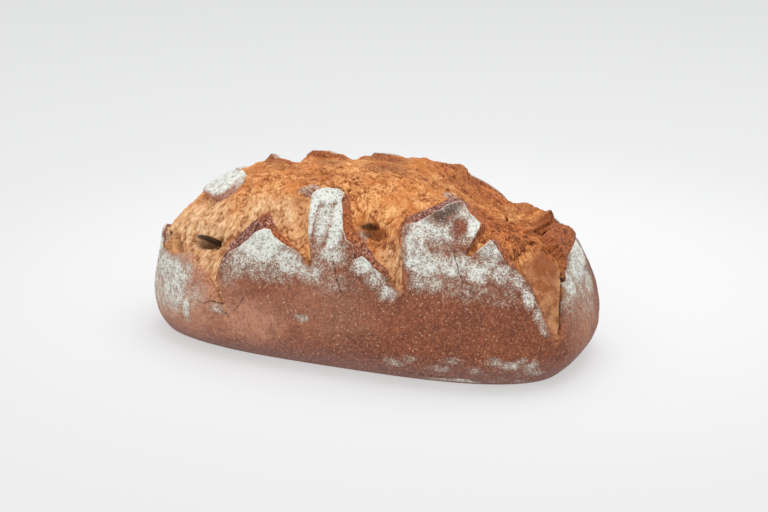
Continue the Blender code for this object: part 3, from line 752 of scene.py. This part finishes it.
def trim(bm, keep):
    """Deletes the faces whose middles the test doesn't keep, and points left loose."""
    kept = keep(places_of([face.calc_center_median() for face in bm.faces]))
    lost = [face for face, wanted in zip(bm.faces, kept) if not wanted]
    bmesh.ops.delete(bm, geom=lost, context="FACES")


def torn_points(bm):
    """The points along the tear, leaving out the base, the ridge and the seam."""
    found = set()
    for edge in bm.edges:
        ends = [vert.co for vert in edge.verts]
        seam = all(abs(abs(co.x - GIRTH / 2) - GIRTH / 2) < SEAM for co in ends)
        level = abs(ends[0].y - ends[1].y) < ROW_LIMIT
        flat = level and not ROW_LIMIT <= ends[0].y <= 1 - ROW_LIMIT
        if edge.is_boundary and not seam and not flat:
            found.update(edge.verts)
    return list(found)


def snap_to_tear(bm):
    """Moves the points along the tear onto it, and evens out the two rows beside them."""
    torn = torn_points(bm)
    points, _ = place_on_form(*places_of([vert.co for vert in torn]).T)
    index, _ = nearest(points, edge_tree)
    for vert, (girth, rise, _, _) in zip(torn, samples[index]):
        turns = round((vert.co.x - girth) / GIRTH)
        vert.co = (girth + turns * GIRTH, rise / skin_height(girth), 0)
    beside = {edge.other_vert(vert) for vert in torn for edge in vert.link_edges}
    beside |= {edge.other_vert(vert) for vert in beside for edge in vert.link_edges}
    beside = [vert for vert in beside - set(torn) if not vert.is_boundary]
    for _ in range(SMOOTH_PASSES):
        bmesh.ops.smooth_vert(bm, verts=beside, factor=0.5, use_axis_x=True, use_axis_y=True)
    return len(torn)


print("grid tools ready")

# %% Roll a flat grid round the loaf and close it
JOIN, RIM_LOWEST = 0.04 * MM, 0.5 * MM
BURY, FILL_LEVEL, FILL_SQUEEZE = 4 * MM, 30 * MM, (0.78, 0.55)


def store(bm, name, values):
    """Keeps a number for each point, for the materials to read."""
    layer = bm.verts.layers.float.get(name) or bm.verts.layers.float.new(name)
    for vert, value in zip(bm.verts, values):
        vert[layer] = value


def roll_up(bm, surface):
    """Gives the grid's points their places and joins the seam and the ridge."""
    for vert, place in zip(bm.verts, surface):
        vert.co = place
    rims = [vert for vert in bm.verts if vert.is_boundary]
    bmesh.ops.remove_doubles(bm, verts=rims, dist=JOIN)
    bmesh.ops.recalc_face_normals(bm, faces=bm.faces)


def bury_rim(bm):
    """Turns the tear's open rim down into the loaf and closes it flat inside."""
    open_rim = [edge for edge in bm.edges if edge.is_boundary]
    rim = [edge for edge in open_rim if min(vert.co.z for vert in edge.verts) > RIM_LOWEST]
    bm.normal_update()
    turned = bmesh.ops.extrude_edge_only(bm, edges=rim)["geom"]
    for vert in [item for item in turned if isinstance(item, bmesh.types.BMVert)]:
        others = [edge.other_vert(vert) for edge in vert.link_edges]
        outer = next(other for other in others if other.normal.length > 0)
        vert.co -= BURY * outer.normal
    rim = [item for item in turned if isinstance(item, bmesh.types.BMEdge)]
    turned = bmesh.ops.extrude_edge_only(bm, edges=rim)["geom"]
    for vert in [item for item in turned if isinstance(item, bmesh.types.BMVert)]:
        vert.co = (vert.co.x * FILL_SQUEEZE[0], vert.co.y * FILL_SQUEEZE[1], FILL_LEVEL)
    rim = [item for item in turned if isinstance(item, bmesh.types.BMEdge)]
    bmesh.ops.holes_fill(bm, edges=rim, sides=0)


def finished_piece(name, bm):
    """The mesh as an object of the loaf, standing for its plain solid."""
    bmesh.ops.recalc_face_normals(bm, faces=bm.faces)
    mesh = bpy.data.meshes.new(name)
    bm.to_mesh(mesh)
    open_edges = sum(edge.is_boundary for edge in bm.edges)
    triangles = sum(len(face.verts) - 2 for face in bm.faces)
    print(name, triangles, "triangles,", open_edges, "open edges")
    bm.free()
    mesh.shade_smooth()
    piece = bpy.data.objects.new(name, mesh)
    bpy.context.scene.collection.objects.link(piece)
    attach(piece, "root")
    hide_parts("loaf")
    return piece


# %% [markdown]
# The crust is a thin dry skin over the whole wall, up to the tear. Its relief is low: a broad
# swell, small blisters, and the hairline cracks that open as the loaf cools. A crack is a groove
# in the mesh, and the distance to it is kept for the material, which paints shade into it.

# %% Model the crust
CRUST_SPACING = 0.85 * MM
CRUST_LUMPS, CRUST_LUMP_CELLS = 0.3 * MM, [110, 110, 110]
BLISTERS, BLISTER_CELLS = 0.14 * MM, [420, 420, 420]
CRACKS = [
    (0.45, -0.9, [(625, 89), (625, 86), (627, 82), (628, 80), (629, 76), (631, 73), (632, 70)]),
    (0.45, -0.9, [(549, 78), (550, 74), (552, 71), (552, 68), (554, 64), (556, 61), (557, 58)]),
    (0.35, -0.5, [(434, 41), (436, 36)]),
    (0.6, -1.0, [(562, 33), (566, 30), (568, 29)]),
    (0.8, -1.8, [(459, 38), (465, 37), (470, 40), (477, 40), (482, 36), (484, 32)]),
    (0.8, -2.2, [(596, 10.5), (604, 9.5), (612, 8.8), (618, 8.6), (626, 7.8), (633, 7.4), (643, 5)]),
    (0.35, -0.3, [(494, 46), (491, 41), (488, 37)]),
    (0.5, -0.9, [(90, 60), (94, 50), (92, 42)]),
    (0.5, -0.9, [(210, 80), (207, 70), (209, 58)]),
]
CRACK_HOLD = 0.5 * MM
LIP_FROM, LIP_FULL = 1.6 * MM, 3.0 * MM
DUSTED, DUST_REACH, TONGUE_FLOUR, FLOUR_MOST = 0.6, 3 * MM, 0.95, 0.97


def snap_to_cracks(bm):
    """Moves the points beside each crack onto its line."""
    places = places_of([vert.co for vert in bm.verts])
    points, _ = place_on_form(*places.T)
    verts = list(bm.verts)
    for _, _, corners in CRACKS:
        line = walk(np.array(corners) * MM, EDGE_STEP)
        index, away = nearest(points, tree_of(place_on_form(*line.T)[0]))
        for hit in np.flatnonzero(away < CRACK_HOLD):
            if not verts[hit].is_boundary:
                girth, rise = line[index[hit]]
                verts[hit].co = (girth, rise / skin_height(girth), 0)


def crust_height(points, places):
    """How far the crust stands off the dough form."""
    height = read_table(crust_lift, places[:, 0], places[:, 1] / skin_height(places[:, 0]))[:, 0]
    height += CRUST_SWELL * noise_at(points, SWELL_CELLS, 3)
    height += CRUST_LUMPS * noise_at(points, CRUST_LUMP_CELLS, 5)
    height += BLISTERS * noise_at(points, BLISTER_CELLS, 9)
    height += line_relief(points, LOAF_LINES) + line_relief(points, CRACKS)
    return height * np.clip(places[:, 1] / BASE_ROUND, 0, 1)


def crack_distance(points):
    """Distance to the nearest crack, in millimetres."""
    return np.min([line_distance(points, corners) for _, _, corners in CRACKS], axis=0) / MM


def make_crust():
    """The crust as a closed piece, with its flour and scorching kept for the material."""
    bm = flat_grid(CRUST_SPACING, 0)
    trim(bm, is_crust)
    snap_to_tear(bm)
    snap_to_cracks(bm)
    places = places_of([vert.co for vert in bm.verts])
    points, normals = place_on_form(*places.T)
    wandering = bent(places, points)
    index, gap = nearest(points, edge_tree)
    store(bm, "gap", gap / MM)
    lip = np.clip((samples[index, 2] - LIP_FROM) / (LIP_FULL - LIP_FROM), 0, 1)
    flour = painted(FLOUR_DABS, wandering) * (1 + DUSTED * lip * np.exp(-gap / DUST_REACH))
    flour = np.where(inside(places, tongue_outline), TONGUE_FLOUR, np.minimum(flour, FLOUR_MOST))
    store(bm, "lip", lip)
    store(bm, "crack", crack_distance(points))
    store(bm, "flour", flour - painted(BARE_DABS, wandering))
    for name, dabs in CRUST_TINTS:
        store(bm, name, painted(dabs, wandering))
    roll_up(bm, points + normals * crust_height(points, places)[:, None])
    bury_rim(bm)
    base = [edge for edge in bm.edges if edge.is_boundary]
    bmesh.ops.holes_fill(bm, edges=base, sides=0)
    return finished_piece("floured_crust", bm)


crust = make_crust()

# %% [markdown]
# Under the crust the dough stretched until it tore, so the crumb is drawn out into strands that
# run up the loaf and fan out at its ends. Noise that is stretched along the rise gives them. It
# reads the place at the foot of each upright line, which keeps neighbouring strands together as
# they converge. Broad flakes, grit and scattered pits are laid over the strands.

# %% Relief of the torn crumb
RECESS, RECESS_REACH = 2.2 * MM, 11 * MM
CRUMB_LUMPS, LUMP_CELLS = 1.8 * MM, [38, 38, 38]
CRUMB_STRANDS, STRAND_CELLS = 1.1 * MM, [150, 50, 70]
FOOT_RISE, LEAN = 27 * MM, 0.45
SWAY, SWAY_CELLS = 2.6 * MM, [95, 95, 95]
FIBRES, FIBRE_CELLS = 0.5 * MM, [320, 320, 120]
FLAKES, FLAKE_CELLS = 0.85 * MM, [170, 170, 95]
TEARS, TEAR_CELLS, TEAR_PATCHES = 1.3 * MM, [200, 200, 110], [70, 70, 70]
TEAR_BREADTH, SKIN_CALM = 0.09, 0.7
GRIT, GRIT_CELLS = 0.25 * MM, [640, 640, 640]
PIT_SPACING, PIT_SIZE, PIT_DEPTH = 6.5 * MM, 0.2, 1.8 * MM
PIT_LOTTERY, PIT_CHANCE = 7.3, 0.3
HOLE_WALL, PORE_SHADE = 1.1 * MM, 0.8
HOLE_SHADE, DARK_HOLE = 0.3, 15 * MM


def strand_places(points, places):
    """Coordinates in which a strand keeps to one line: its foot on the wall, and the rise."""
    foot, _ = place_on_form(places[:, 0], np.full(len(places), FOOT_RISE))
    share = (places[:, 1] / skin_height(places[:, 0]))[:, None]
    across = foot + (points - foot) * share**3
    across[:, 0] -= LEAN * np.sign(-foot[:, 1]) * np.clip(1 - share[:, 0] ** 4, 0, 1) * places[:, 1]
    across[:, 2] = places[:, 1]
    drift = [noise_at(points, SWAY_CELLS, shift) for shift in (61, 71)]
    return across + SWAY * np.stack([*drift, np.zeros(len(points))], -1)


def pits(points):
    """Depth of scattered round holes, where bubbles broke."""
    depth = np.zeros(len(points))
    for index, point in enumerate(points / PIT_SPACING):
        reach, corners = noise.voronoi(Vector(point))
        if noise.cell(corners[0] * PIT_LOTTERY) > PIT_CHANCE:
            depth[index] = max(0, 1 - (reach[0] / PIT_SIZE) ** 2)
    return PIT_DEPTH * depth


def tears(points, strands):
    """Depth of narrow gaps between strands, in patches."""
    line = 1 - np.abs(noise_at(strands, TEAR_CELLS, 83)) / TEAR_BREADTH
    patch = np.clip(noise_at(points, TEAR_PATCHES, 5) * 3 + 0.6, 0, 1)
    return TEARS * np.clip(line, 0, 1) * patch


def torn_relief(points, strands, smooth):
    """Fine relief of strands, flakes, gaps, grit and pits, calmer where the crumb is smooth."""
    fibres = 0.6 - 2 * np.abs(noise_at(strands, FIBRE_CELLS))
    flakes = noise_at(strands, FLAKE_CELLS, 13)
    grit = noise_at(points, GRIT_CELLS, 17)
    relief = FIBRES * fibres + FLAKES * flakes + GRIT * grit
    relief = relief - pits(points) - tears(points, strands)
    return relief * (1 - SKIN_CALM * smooth)


def burst_holes(places, points):
    """Depth of the burst holes, and how much painted shade each point inside one gets."""
    depth, share = np.zeros(len(places)), np.zeros(len(places))
    for deep, outline in HOLES:
        within = np.clip(region(places, points, outline + outline[:1]) / HOLE_WALL, 0, 1)
        depth = np.maximum(depth, deep * MM * within)
        share = np.maximum(share, within * (HOLE_SHADE + deep * MM / DARK_HOLE))
    return depth, share


print("relief of the crumb, mm:", round((FIBRES + FLAKES + GRIT) / MM, 2))

# %% [markdown]
# The crumb's grid carries the torn rims too, and runs on a little under the crust, so that no gap
# can open between the two pieces. Round the back, where the rims are narrow, they simply follow
# the tear.

# %% Model the crumb with its torn rims
CRUMB_SPACING = 0.695 * MM
CRUMB_FOOT = 0.18
UNDERLAP, UNDERLAP_DEPTH = 2.4 * MM, 1.6 * MM
LIP = 0.5 * MM
BACK_RIM_SHARE, FRONT_RIM = 0.4, 0.6 * MM
FRONT_GIRTHS = (410 * MM, 16 * MM)
MEET, MEET_REACH = 0.8, 9 * MM
RIM_GRAIN, RIM_CELLS = 0.6 * MM, [300, 300, 300]
RIM_WANDER, WANDER_CELLS = 0.28, [150, 150, 150]
RIM_WALL, RIM_TOP_SHARE = 1.1 * MM, 0.6
CRACK_SHADE, SHADE_REACH = 1.6, 1.05 * MM


def keeps_crumb(places):
    """Whether a place is crumb, or crust so near the tear that the crumb runs under it."""
    crust_here = is_crust(places)
    _, gap = nearest(place_on_form(*places.T)[0], edge_tree)
    return ~crust_here | (gap < UNDERLAP)


def crumb_level(points, beyond, relief):
    """Stand-off of the crumb itself, sunken beside the crust."""
    settled = 1 - np.exp(-np.clip(beyond, 0, None) / RECESS_REACH)
    lumps = CRUMB_LUMPS * noise_at(points, LUMP_CELLS)
    lumps += CRUMB_STRANDS * noise_at(points, STRAND_CELLS, 7)
    grooves = line_relief(points, CRUMB_LINES) + line_relief(points, FINE_CRUMB_LINES)
    return lumps + grooves + relief - RECESS * (1 - settled)


def is_front(edge):
    """Whether each row of the torn edge lies on the side with drawn rims."""
    return (edge[:, 0] > FRONT_GIRTHS[0]) | (edge[:, 0] < FRONT_GIRTHS[1])


def torn_rims(places, points, gap, edge):
    """How far each point is inside a torn rim, and the stand-off at that rim's upper line."""
    lift, rim, front = edge[:, 2], edge[:, 3], is_front(edge)
    wander = 1 + RIM_WANDER * noise_at(points, WANDER_CELLS, 29)
    reach = np.where(front, FRONT_RIM, BACK_RIM_SHARE * rim * wander) - gap
    top = RIM_TOP_SHARE * lift
    for stand, outer, inner in RIMS:
        within = region(places, points, outer, inner)
        top = np.where(within > np.maximum(reach, 0), stand * MM, top)
        reach = np.maximum(reach, within)
    return reach, top


def make_crumb():
    """The crumb and the torn rims as one closed piece."""
    bm = flat_grid(CRUMB_SPACING, CRUMB_FOOT)
    trim(bm, keeps_crumb)
    places = places_of([vert.co for vert in bm.verts])
    points, normals = place_on_form(*places.T)
    wandering = bent(places, points)
    index, gap = nearest(points, edge_tree)
    under, lift = is_crust(places), samples[index, 2]
    skin = painted(SKIN_DABS, wandering)
    strands = strand_places(points, places)
    relief = torn_relief(points, strands, skin)
    reach, top = torn_rims(places, points, gap, samples[index])
    depth, painted_shade = burst_holes(places, points)
    level = crumb_level(points, -reach, relief) - depth
    beyond = np.clip(-reach, 0, None)
    level += np.where(is_front(samples[index]), 0, MEET * lift * np.exp(-beyond / MEET_REACH))
    share = gap / (gap + np.clip(reach, 1e-9, None))
    grain = RIM_GRAIN * (0.4 - 2 * np.abs(noise_at(points, RIM_CELLS, 37))) * np.clip(gap / LIP, 0, 1)
    swell = CRUST_SWELL * noise_at(points, SWELL_CELLS, 3)
    band = lift * (1 - share) + top * share + swell - LIP + grain
    wall = np.clip(reach / RIM_WALL, 0, 1)
    wall = wall * wall * (3 - 2 * wall)
    height = band * wall + level * (1 - wall)
    buried = lift + swell - LIP - UNDERLAP_DEPTH * np.clip(gap / UNDERLAP, 0, 1)
    height = np.where(under, buried, height) + line_relief(points, LOAF_LINES)
    # Painted shade along the deep crack by the ear and in the pits, kept with the holes' painted shade.
    crack = np.clip(CRACK_SHADE - line_distance(points, EAR_CRACK) / SHADE_REACH, 0, 1)
    pit_shade = PORE_SHADE * pits(points) / PIT_DEPTH * (1 - skin)
    store(bm, "relief", relief / MM)
    store(bm, "rim", np.where(under, 1, reach / MM))
    store(bm, "skin", skin)
    store(bm, "painted_shade", np.max([painted_shade, crack, pit_shade, painted(SHADE_DABS, wandering)], axis=0))
    for name, dabs in CRUMB_TINTS:
        store(bm, name, painted(dabs, wandering))
    layer = bm.verts.layers.float_vector.new("strand")
    for vert, place in zip(bm.verts, strands):
        vert[layer] = place
    roll_up(bm, points + normals * height[:, None])
    bury_rim(bm)
    return finished_piece("torn_crumb", bm)


crumb = make_crumb()

# %% [markdown]
# The materials mix a few plain colours with the numbers that each point keeps. These short
# helpers add a node and wire it in one line, which keeps the recipes below readable. Colours are
# written as they look on a screen, from 0 to 255, and turned into the linear values that a
# shader expects.

# %% Helpers for materials


def screen(red, green, blue):
    """A linear colour from screen values."""
    values = [value / 255 for value in (red, green, blue)]
    return (*[v / 12.92 if v <= 0.04045 else ((v + 0.055) / 1.055) ** 2.4 for v in values], 1)


class Recipe:
    """A material under construction."""

    def __init__(self, name, roughness, specular):
        self.material = bpy.data.materials.new(name)
        self.material.use_nodes = True
        self.tree = self.material.node_tree
        self.shader = self.tree.nodes["Principled BSDF"]
        self.shader.inputs["Roughness"].default_value = roughness
        self.shader.inputs["Specular IOR Level"].default_value = specular
        self.here = self.node("ShaderNodeTexCoord").outputs["Object"]

    def node(self, kind, inputs=None, **settings):
        """Adds a node with its settings, its inputs given as numbers or as sockets."""
        made = self.tree.nodes.new(kind)
        for name, value in settings.items():
            setattr(made, name, value)
        for name, value in (inputs or {}).items():
            if isinstance(value, bpy.types.NodeSocket):
                self.tree.links.new(value, made.inputs[name])
            else:
                made.inputs[name].default_value = value
        return made

    def kept(self, name, part="Fac"):
        """A number or place that the mesh keeps for each point."""
        return self.node("ShaderNodeAttribute", attribute_name=name).outputs[part]

    def noise(self, size, detail=2.0, rough=0.5, where=None):
        """Noise with blobs of about this size in metres."""
        inputs = {"Vector": where or self.here, "Scale": 1 / size, "Detail": detail, "Roughness": rough}
        return self.node("ShaderNodeTexNoise", inputs).outputs["Fac"]

    def squeezed(self, factors, where=None):
        """The place with each axis multiplied, to stretch a pattern."""
        inputs = {0: where or self.here, 1: factors}
        return self.node("ShaderNodeVectorMath", inputs, operation="MULTIPLY").outputs[0]

    def step(self, value, low, high, start=0.0, end=1.0):
        """A soft step from start to end as the value goes from low to high."""
        inputs = {"Value": value, "From Min": low, "From Max": high, "To Min": start, "To Max": end}
        return self.node("ShaderNodeMapRange", inputs, interpolation_type="SMOOTHSTEP").outputs[0]

    def math(self, operation, first, second):
        """Two numbers put together."""
        return self.node("ShaderNodeMath", {0: first, 1: second}, operation=operation).outputs[0]

    def plus(self, first, second):
        """Two numbers added."""
        return self.math("ADD", first, second)

    def times(self, first, second):
        """Two numbers multiplied."""
        return self.math("MULTIPLY", first, second)

    def swing(self, value, size):
        """A value from 0 to 1 as a swing of this size about zero."""
        return self.times(self.math("SUBTRACT", value, 0.5), size)

    def mix(self, amount, first, second):
        """Two colours mixed by an amount."""
        inputs = {0: amount, 6: first, 7: second}
        return self.node("ShaderNodeMix", inputs, data_type="RGBA").outputs[2]

    def dots(self, spacing, radius):
        """Round dots at random places, about so far apart, none wider than this radius allows."""
        cells = self.node("ShaderNodeTexVoronoi", {"Vector": self.here, "Scale": 1 / spacing})
        edge = radius / spacing
        return self.step(cells.outputs["Distance"], edge * 0.6, edge * 1.2, 1, 0)

    def flakes(self, size, where):
        """Distance from the middle of each of many cells, about so large."""
        cells = self.node("ShaderNodeTexVoronoi", {"Vector": where, "Scale": 1 / size})
        return cells.outputs["Distance"]

    def bump(self, height, distance, strength):
        """Fine unevenness, in metres."""
        inputs = {"Height": height, "Distance": distance, "Strength": strength}
        made = self.node("ShaderNodeBump", inputs)
        self.tree.links.new(made.outputs[0], self.shader.inputs["Normal"])

    def finish(self, colour, roughness=None):
        """Wires the colour, and the roughness where it varies."""
        self.tree.links.new(colour, self.shader.inputs["Base Color"])
        if roughness is not None:
            self.tree.links.new(roughness, self.shader.inputs["Roughness"])
        return self.material


print("a mid brown in linear values:", [round(value, 3) for value in screen(138, 83, 61)])

# %% [markdown]
# The baked crust is a dull red brown with tiny pale specks all over, and painted shade turns it
# purplish where it curves under at the foot. Flour lies on it in grains: heavy near the torn edge,
# where it was dusted before baking, and thinning out below. The amount of flour that a point keeps
# sets how much of a grainy noise shows as white. A painted highlight, a hair of pale colour, runs
# along the very edge, and painted shade darkens the hairline cracks.

# %% Finish the crust
RED_BROWN, TAN_BROWN = screen(134, 73, 46), screen(206, 150, 122)
DARK_BROWN, LIGHT_BROWN, FOOT_SHADE_BROWN = screen(84, 42, 31), screen(176, 108, 74), screen(128, 92, 86)
FLOUR_THICK, FLOUR_THIN, FLOUR_DOT = screen(224, 227, 219), screen(196, 180, 164), screen(116, 104, 96)
SPECK, SCORCHED, PAINTED_CRACK_SHADE, EDGE_HIGHLIGHT = (
    screen(206, 162, 130), screen(62, 49, 40), screen(74, 40, 28), screen(222, 208, 190)
)
SOFT_TAN = screen(214, 170, 136)


def crust_material():
    """Red-brown crust, specks, flour, scorching, painted shade at foot and cracks, painted edge
    highlight.
    """
    r = Recipe("floured crust", 0.62, 0.28)
    height = r.node("ShaderNodeSeparateXYZ", {0: r.here}).outputs["Z"]
    broad, patchy, blotch = r.noise(0.030, 2), r.noise(0.008, 3), r.noise(0.0034, 2)
    fine, grain = r.noise(0.0016, 3, 0.65), r.noise(0.00095, 2, 0.6)
    colour = r.mix(r.step(broad, 0.35, 0.7, 0, 0.6), RED_BROWN, DARK_BROWN)
    # The pale tint is paler dough, and on the lower left wall a painted broad highlight.
    pale = r.times(r.kept("pale"), r.step(patchy, 0.2, 0.7, 0.55, 1))
    colour = r.mix(pale, colour, TAN_BROWN)
    calm = r.math("SUBTRACT", 1, r.times(pale, 0.6))
    # Painted shade: the crust's foot darkens to a purplish brown where it curves under.
    foot = r.plus(height, r.times(patchy, 0.012))
    under = r.times(calm, r.step(foot, 0.012, 0.03, 0.85, 0))
    colour = r.mix(under, colour, FOOT_SHADE_BROWN)
    colour = r.mix(r.times(calm, r.step(blotch, 0.30, 0.55, 0.35, 0)), colour, DARK_BROWN)
    colour = r.mix(r.step(fine, 0.36, 0.54, 0.4, 0), colour, DARK_BROWN)
    colour = r.mix(r.step(fine, 0.50, 0.66, 0, 0.5), colour, LIGHT_BROWN)
    colour = r.mix(r.step(grain, 0.56, 0.66, 0, 0.55), colour, LIGHT_BROWN)
    specks = r.math("MAXIMUM", r.dots(0.0031, 0.00056), r.times(r.dots(0.0018, 0.0004), 0.6))
    colour = r.mix(r.times(specks, r.step(patchy, 0.3, 0.65, 0.3, 0.85)), colour, SPECK)
    amount = r.plus(r.kept("flour"), r.swing(patchy, 0.4))
    amount = r.plus(amount, r.swing(blotch, 0.55))
    needed = r.math("SUBTRACT", 0.73, r.times(amount, 0.40))
    cover = r.step(r.math("SUBTRACT", grain, needed), -0.035, 0.045)
    cover = r.times(cover, r.step(r.kept("flour"), 0.02, 0.2))
    grains = r.math("MAXIMUM", r.dots(0.0015, 0.00044), r.dots(0.0021, 0.0006))
    cover = r.math("MAXIMUM", cover, r.times(grains, r.step(amount, 0.1, 0.5, 0, 0.9)))
    haze = r.times(r.step(amount, 0.1, 1.0, 0, 0.45), r.step(r.kept("flour"), 0.02, 0.3))
    colour = r.mix(haze, colour, FLOUR_THIN)
    flour = r.mix(r.step(amount, 0.35, 0.95), FLOUR_THIN, FLOUR_THICK)
    flour = r.mix(r.step(blotch, 0.34, 0.50, 0.3, 0), flour, FLOUR_DOT)
    flour = r.mix(r.step(fine, 0.32, 0.49, 0.6, 0), flour, FLOUR_DOT)
    flour = r.mix(r.times(r.dots(0.0025, 0.0007), 0.6), flour, FLOUR_DOT)
    colour = r.mix(r.times(cover, 0.94), colour, flour)
    char = r.plus(r.kept("scorch"), r.swing(grain, 2.4))
    scorched = r.times(r.step(char, 0.55, 1.15, 0, 0.9), r.step(r.kept("scorch"), 0.02, 0.25))
    colour = r.mix(scorched, colour, SCORCHED)
    fading = r.plus(r.kept("gap"), r.times(patchy, 4))
    soft_edge = r.times(r.kept("soft"), r.step(fading, 2, 6, 0.9, 0))
    dark, light = r.mix(pale, RED_BROWN, LIGHT_BROWN), r.mix(pale, LIGHT_BROWN, SOFT_TAN)
    colour = r.mix(soft_edge, colour, r.mix(r.step(fine, 0.4, 0.6), dark, light))
    # A painted highlight along the very edge of the lifted crust.
    edge = r.times(r.step(r.kept("gap"), 0.1, 0.9, 1, 0), r.kept("lip"))
    edge = r.times(edge, r.step(blotch, 0.38, 0.60, 0.25, 0.85))
    colour = r.mix(edge, colour, EDGE_HIGHLIGHT)
    # Painted shade in the hairline cracks.
    colour = r.mix(r.step(r.kept("crack"), 0.2, 0.62, 0.9, 0), colour, PAINTED_CRACK_SHADE)
    relief = r.plus(fine, r.times(cover, 0.5))
    r.bump(relief, 0.0005, 0.8)
    return r.finish(colour, r.step(cover, 0, 1, 0.6, 0.95))


crust.data.materials.append(crust_material())
print("crust finished")

# %% [markdown]
# The crumb's colour follows its relief: high strands get a painted highlight of pale gold, and the
# hollows between them a painted shade of deep orange brown. It is beige at the left end and in the
# notches, and darker on the right shoulder. The torn rim is rough and red brown, like the crust
# beside it. Where a second skin formed, by the deep crack, it is smooth and even. Painted shade
# darkens the burst holes, the pits and the deep crack.

# %% Finish the crumb
GOLD_HIGHLIGHT, MID_GOLD, GOLD_SHADE = screen(240, 184, 124), screen(216, 146, 88), screen(146, 80, 40)
TAN_HIGHLIGHT, MID_TAN, TAN_SHADE = screen(244, 208, 168), screen(224, 176, 130), screen(170, 114, 74)
DEEP_HIGHLIGHT, MID_DEEP, DEEP_SHADE = screen(208, 128, 72), screen(174, 98, 52), screen(98, 46, 22)
PATCH_GOLD, BAKED_LIGHT, BAKED_DARK = screen(206, 124, 62), screen(168, 100, 62), screen(92, 46, 28)
RIM_LIGHT, RIM_MID, RIM_DARK = screen(204, 160, 146), screen(134, 86, 72), screen(62, 32, 28)
RUST_LIGHT, RUST_MID, RUST_DARK = screen(204, 130, 84), screen(164, 92, 54), screen(96, 46, 26)
SKIN_LIGHT, SKIN_DARK, SHADE_DARK = screen(220, 160, 114), screen(140, 76, 42), screen(36, 20, 10)
PALE_SCRAP = screen(206, 180, 160)


def lit_and_shaded_tones(r, level, low, middle, high):
    """A colour that goes from painted shade in the hollows to painted highlight on high relief."""
    lower = r.mix(r.step(level, -1.3, 0.0), low, middle)
    return r.mix(r.step(level, 0.1, 1.0), lower, high)


def crumb_material():
    """Gold strands with painted highlights and shade, the torn rims, the second skin, painted hole
    shade.
    """
    r = Recipe("torn crumb", 0.78, 0.22)
    strand = r.kept("strand", "Vector")
    fibre = r.noise(1, 3, 0.6, r.squeezed((880, 880, 330), strand))
    flake = r.flakes(1, r.squeezed((460, 460, 220), strand))
    patchy, fine, broad = r.noise(0.007, 3), r.noise(0.0013, 3, 0.65), r.noise(0.013, 2)
    # Painted light: the level mixes relief with strand, flake and patch noise, and the tones paint high
    # places lit and low places shaded.
    level = r.plus(r.kept("relief"), r.step(fibre, 0.28, 0.72, -0.75, 0.8))
    level = r.plus(level, r.step(flake, 0.15, 0.75, 0.45, -0.5))
    level = r.plus(level, r.step(patchy, 0.3, 0.7, -0.45, 0.45))
    colour = lit_and_shaded_tones(r, level, GOLD_SHADE, MID_GOLD, GOLD_HIGHLIGHT)
    colour = r.mix(r.step(broad, 0.46, 0.62, 0, 0.55), colour, PATCH_GOLD)
    colour = r.mix(r.kept("tan"), colour, lit_and_shaded_tones(r, level, TAN_SHADE, MID_TAN, TAN_HIGHLIGHT))
    colour = r.mix(r.kept("deep"), colour, lit_and_shaded_tones(r, level, DEEP_SHADE, MID_DEEP, DEEP_HIGHLIGHT))
    baked = r.mix(r.step(fine, 0.38, 0.6), BAKED_DARK, BAKED_LIGHT)
    colour = r.mix(r.times(r.kept("baked"), r.step(fibre, 0.3, 0.6, 0.9, 0.6)), colour, baked)
    calm = r.plus(r.times(patchy, 0.7), r.times(fine, 0.6))
    skin = r.mix(r.step(calm, 0.52, 0.76), SKIN_LIGHT, SKIN_DARK)
    skin = r.mix(r.times(r.dots(0.0022, 0.00045), 0.5), skin, SKIN_DARK)
    skin = r.mix(r.times(r.kept("deep"), 0.85), skin, SKIN_DARK)
    # The strands of the second skin get the painted highlight colour.
    skin = r.mix(r.step(fibre, 0.6, 0.75, 0, 0.5), skin, TAN_HIGHLIGHT)
    skin = r.mix(r.step(fine, 0.38, 0.52, 0.55, 0), skin, SKIN_DARK)
    colour = r.mix(r.step(r.kept("skin"), 0.2, 0.7, 0, 0.85), colour, skin)
    scrap = r.mix(r.step(fine, 0.40, 0.58), RIM_MID, PALE_SCRAP)
    colour = r.mix(r.step(r.kept("curl"), 0.35, 0.6, 0, 0.9), colour, scrap)
    rough = r.plus(r.times(fine, 0.6), r.times(fibre, 0.4))
    mauve = r.mix(r.step(rough, 0.40, 0.50), RIM_DARK, RIM_MID)
    mauve = r.mix(r.step(rough, 0.52, 0.62), mauve, RIM_LIGHT)
    rust = r.mix(r.step(rough, 0.40, 0.50), RUST_DARK, RUST_MID)
    rust = r.mix(r.step(rough, 0.52, 0.62), rust, RUST_LIGHT)
    torn = r.mix(r.kept("rust"), mauve, rust)
    in_rim = r.plus(r.kept("rim"), r.swing(fine, 2))
    in_rim = r.times(r.step(in_rim, 0, 0.6), r.math("SUBTRACT", 1, r.kept("soft")))
    colour = r.mix(in_rim, colour, torn)
    # Painted shade in the burst holes, the deep crack, the pits and the shade dabs.
    colour = r.mix(r.step(r.kept("painted_shade"), 0.3, 1.0, 0, 0.9), colour, SHADE_DARK)
    r.bump(r.plus(fine, fibre), 0.0007, 0.9)
    return r.finish(colour)


crumb.data.materials.append(crumb_material())
print("crumb finished")

# %% [markdown]
# Last, the two boxes are printed: the solid's, and the dressed loaf's. The dressed loaf may
# stand a few millimetres proud of the solid, and no more.

# %% Measure and finish
dressed_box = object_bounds()
for name, box in (("solid", solid_box), ("dressed", dressed_box)):
    print(name, "mm:", [round((high - low) / MM, 1) for low, high in zip(*box)])
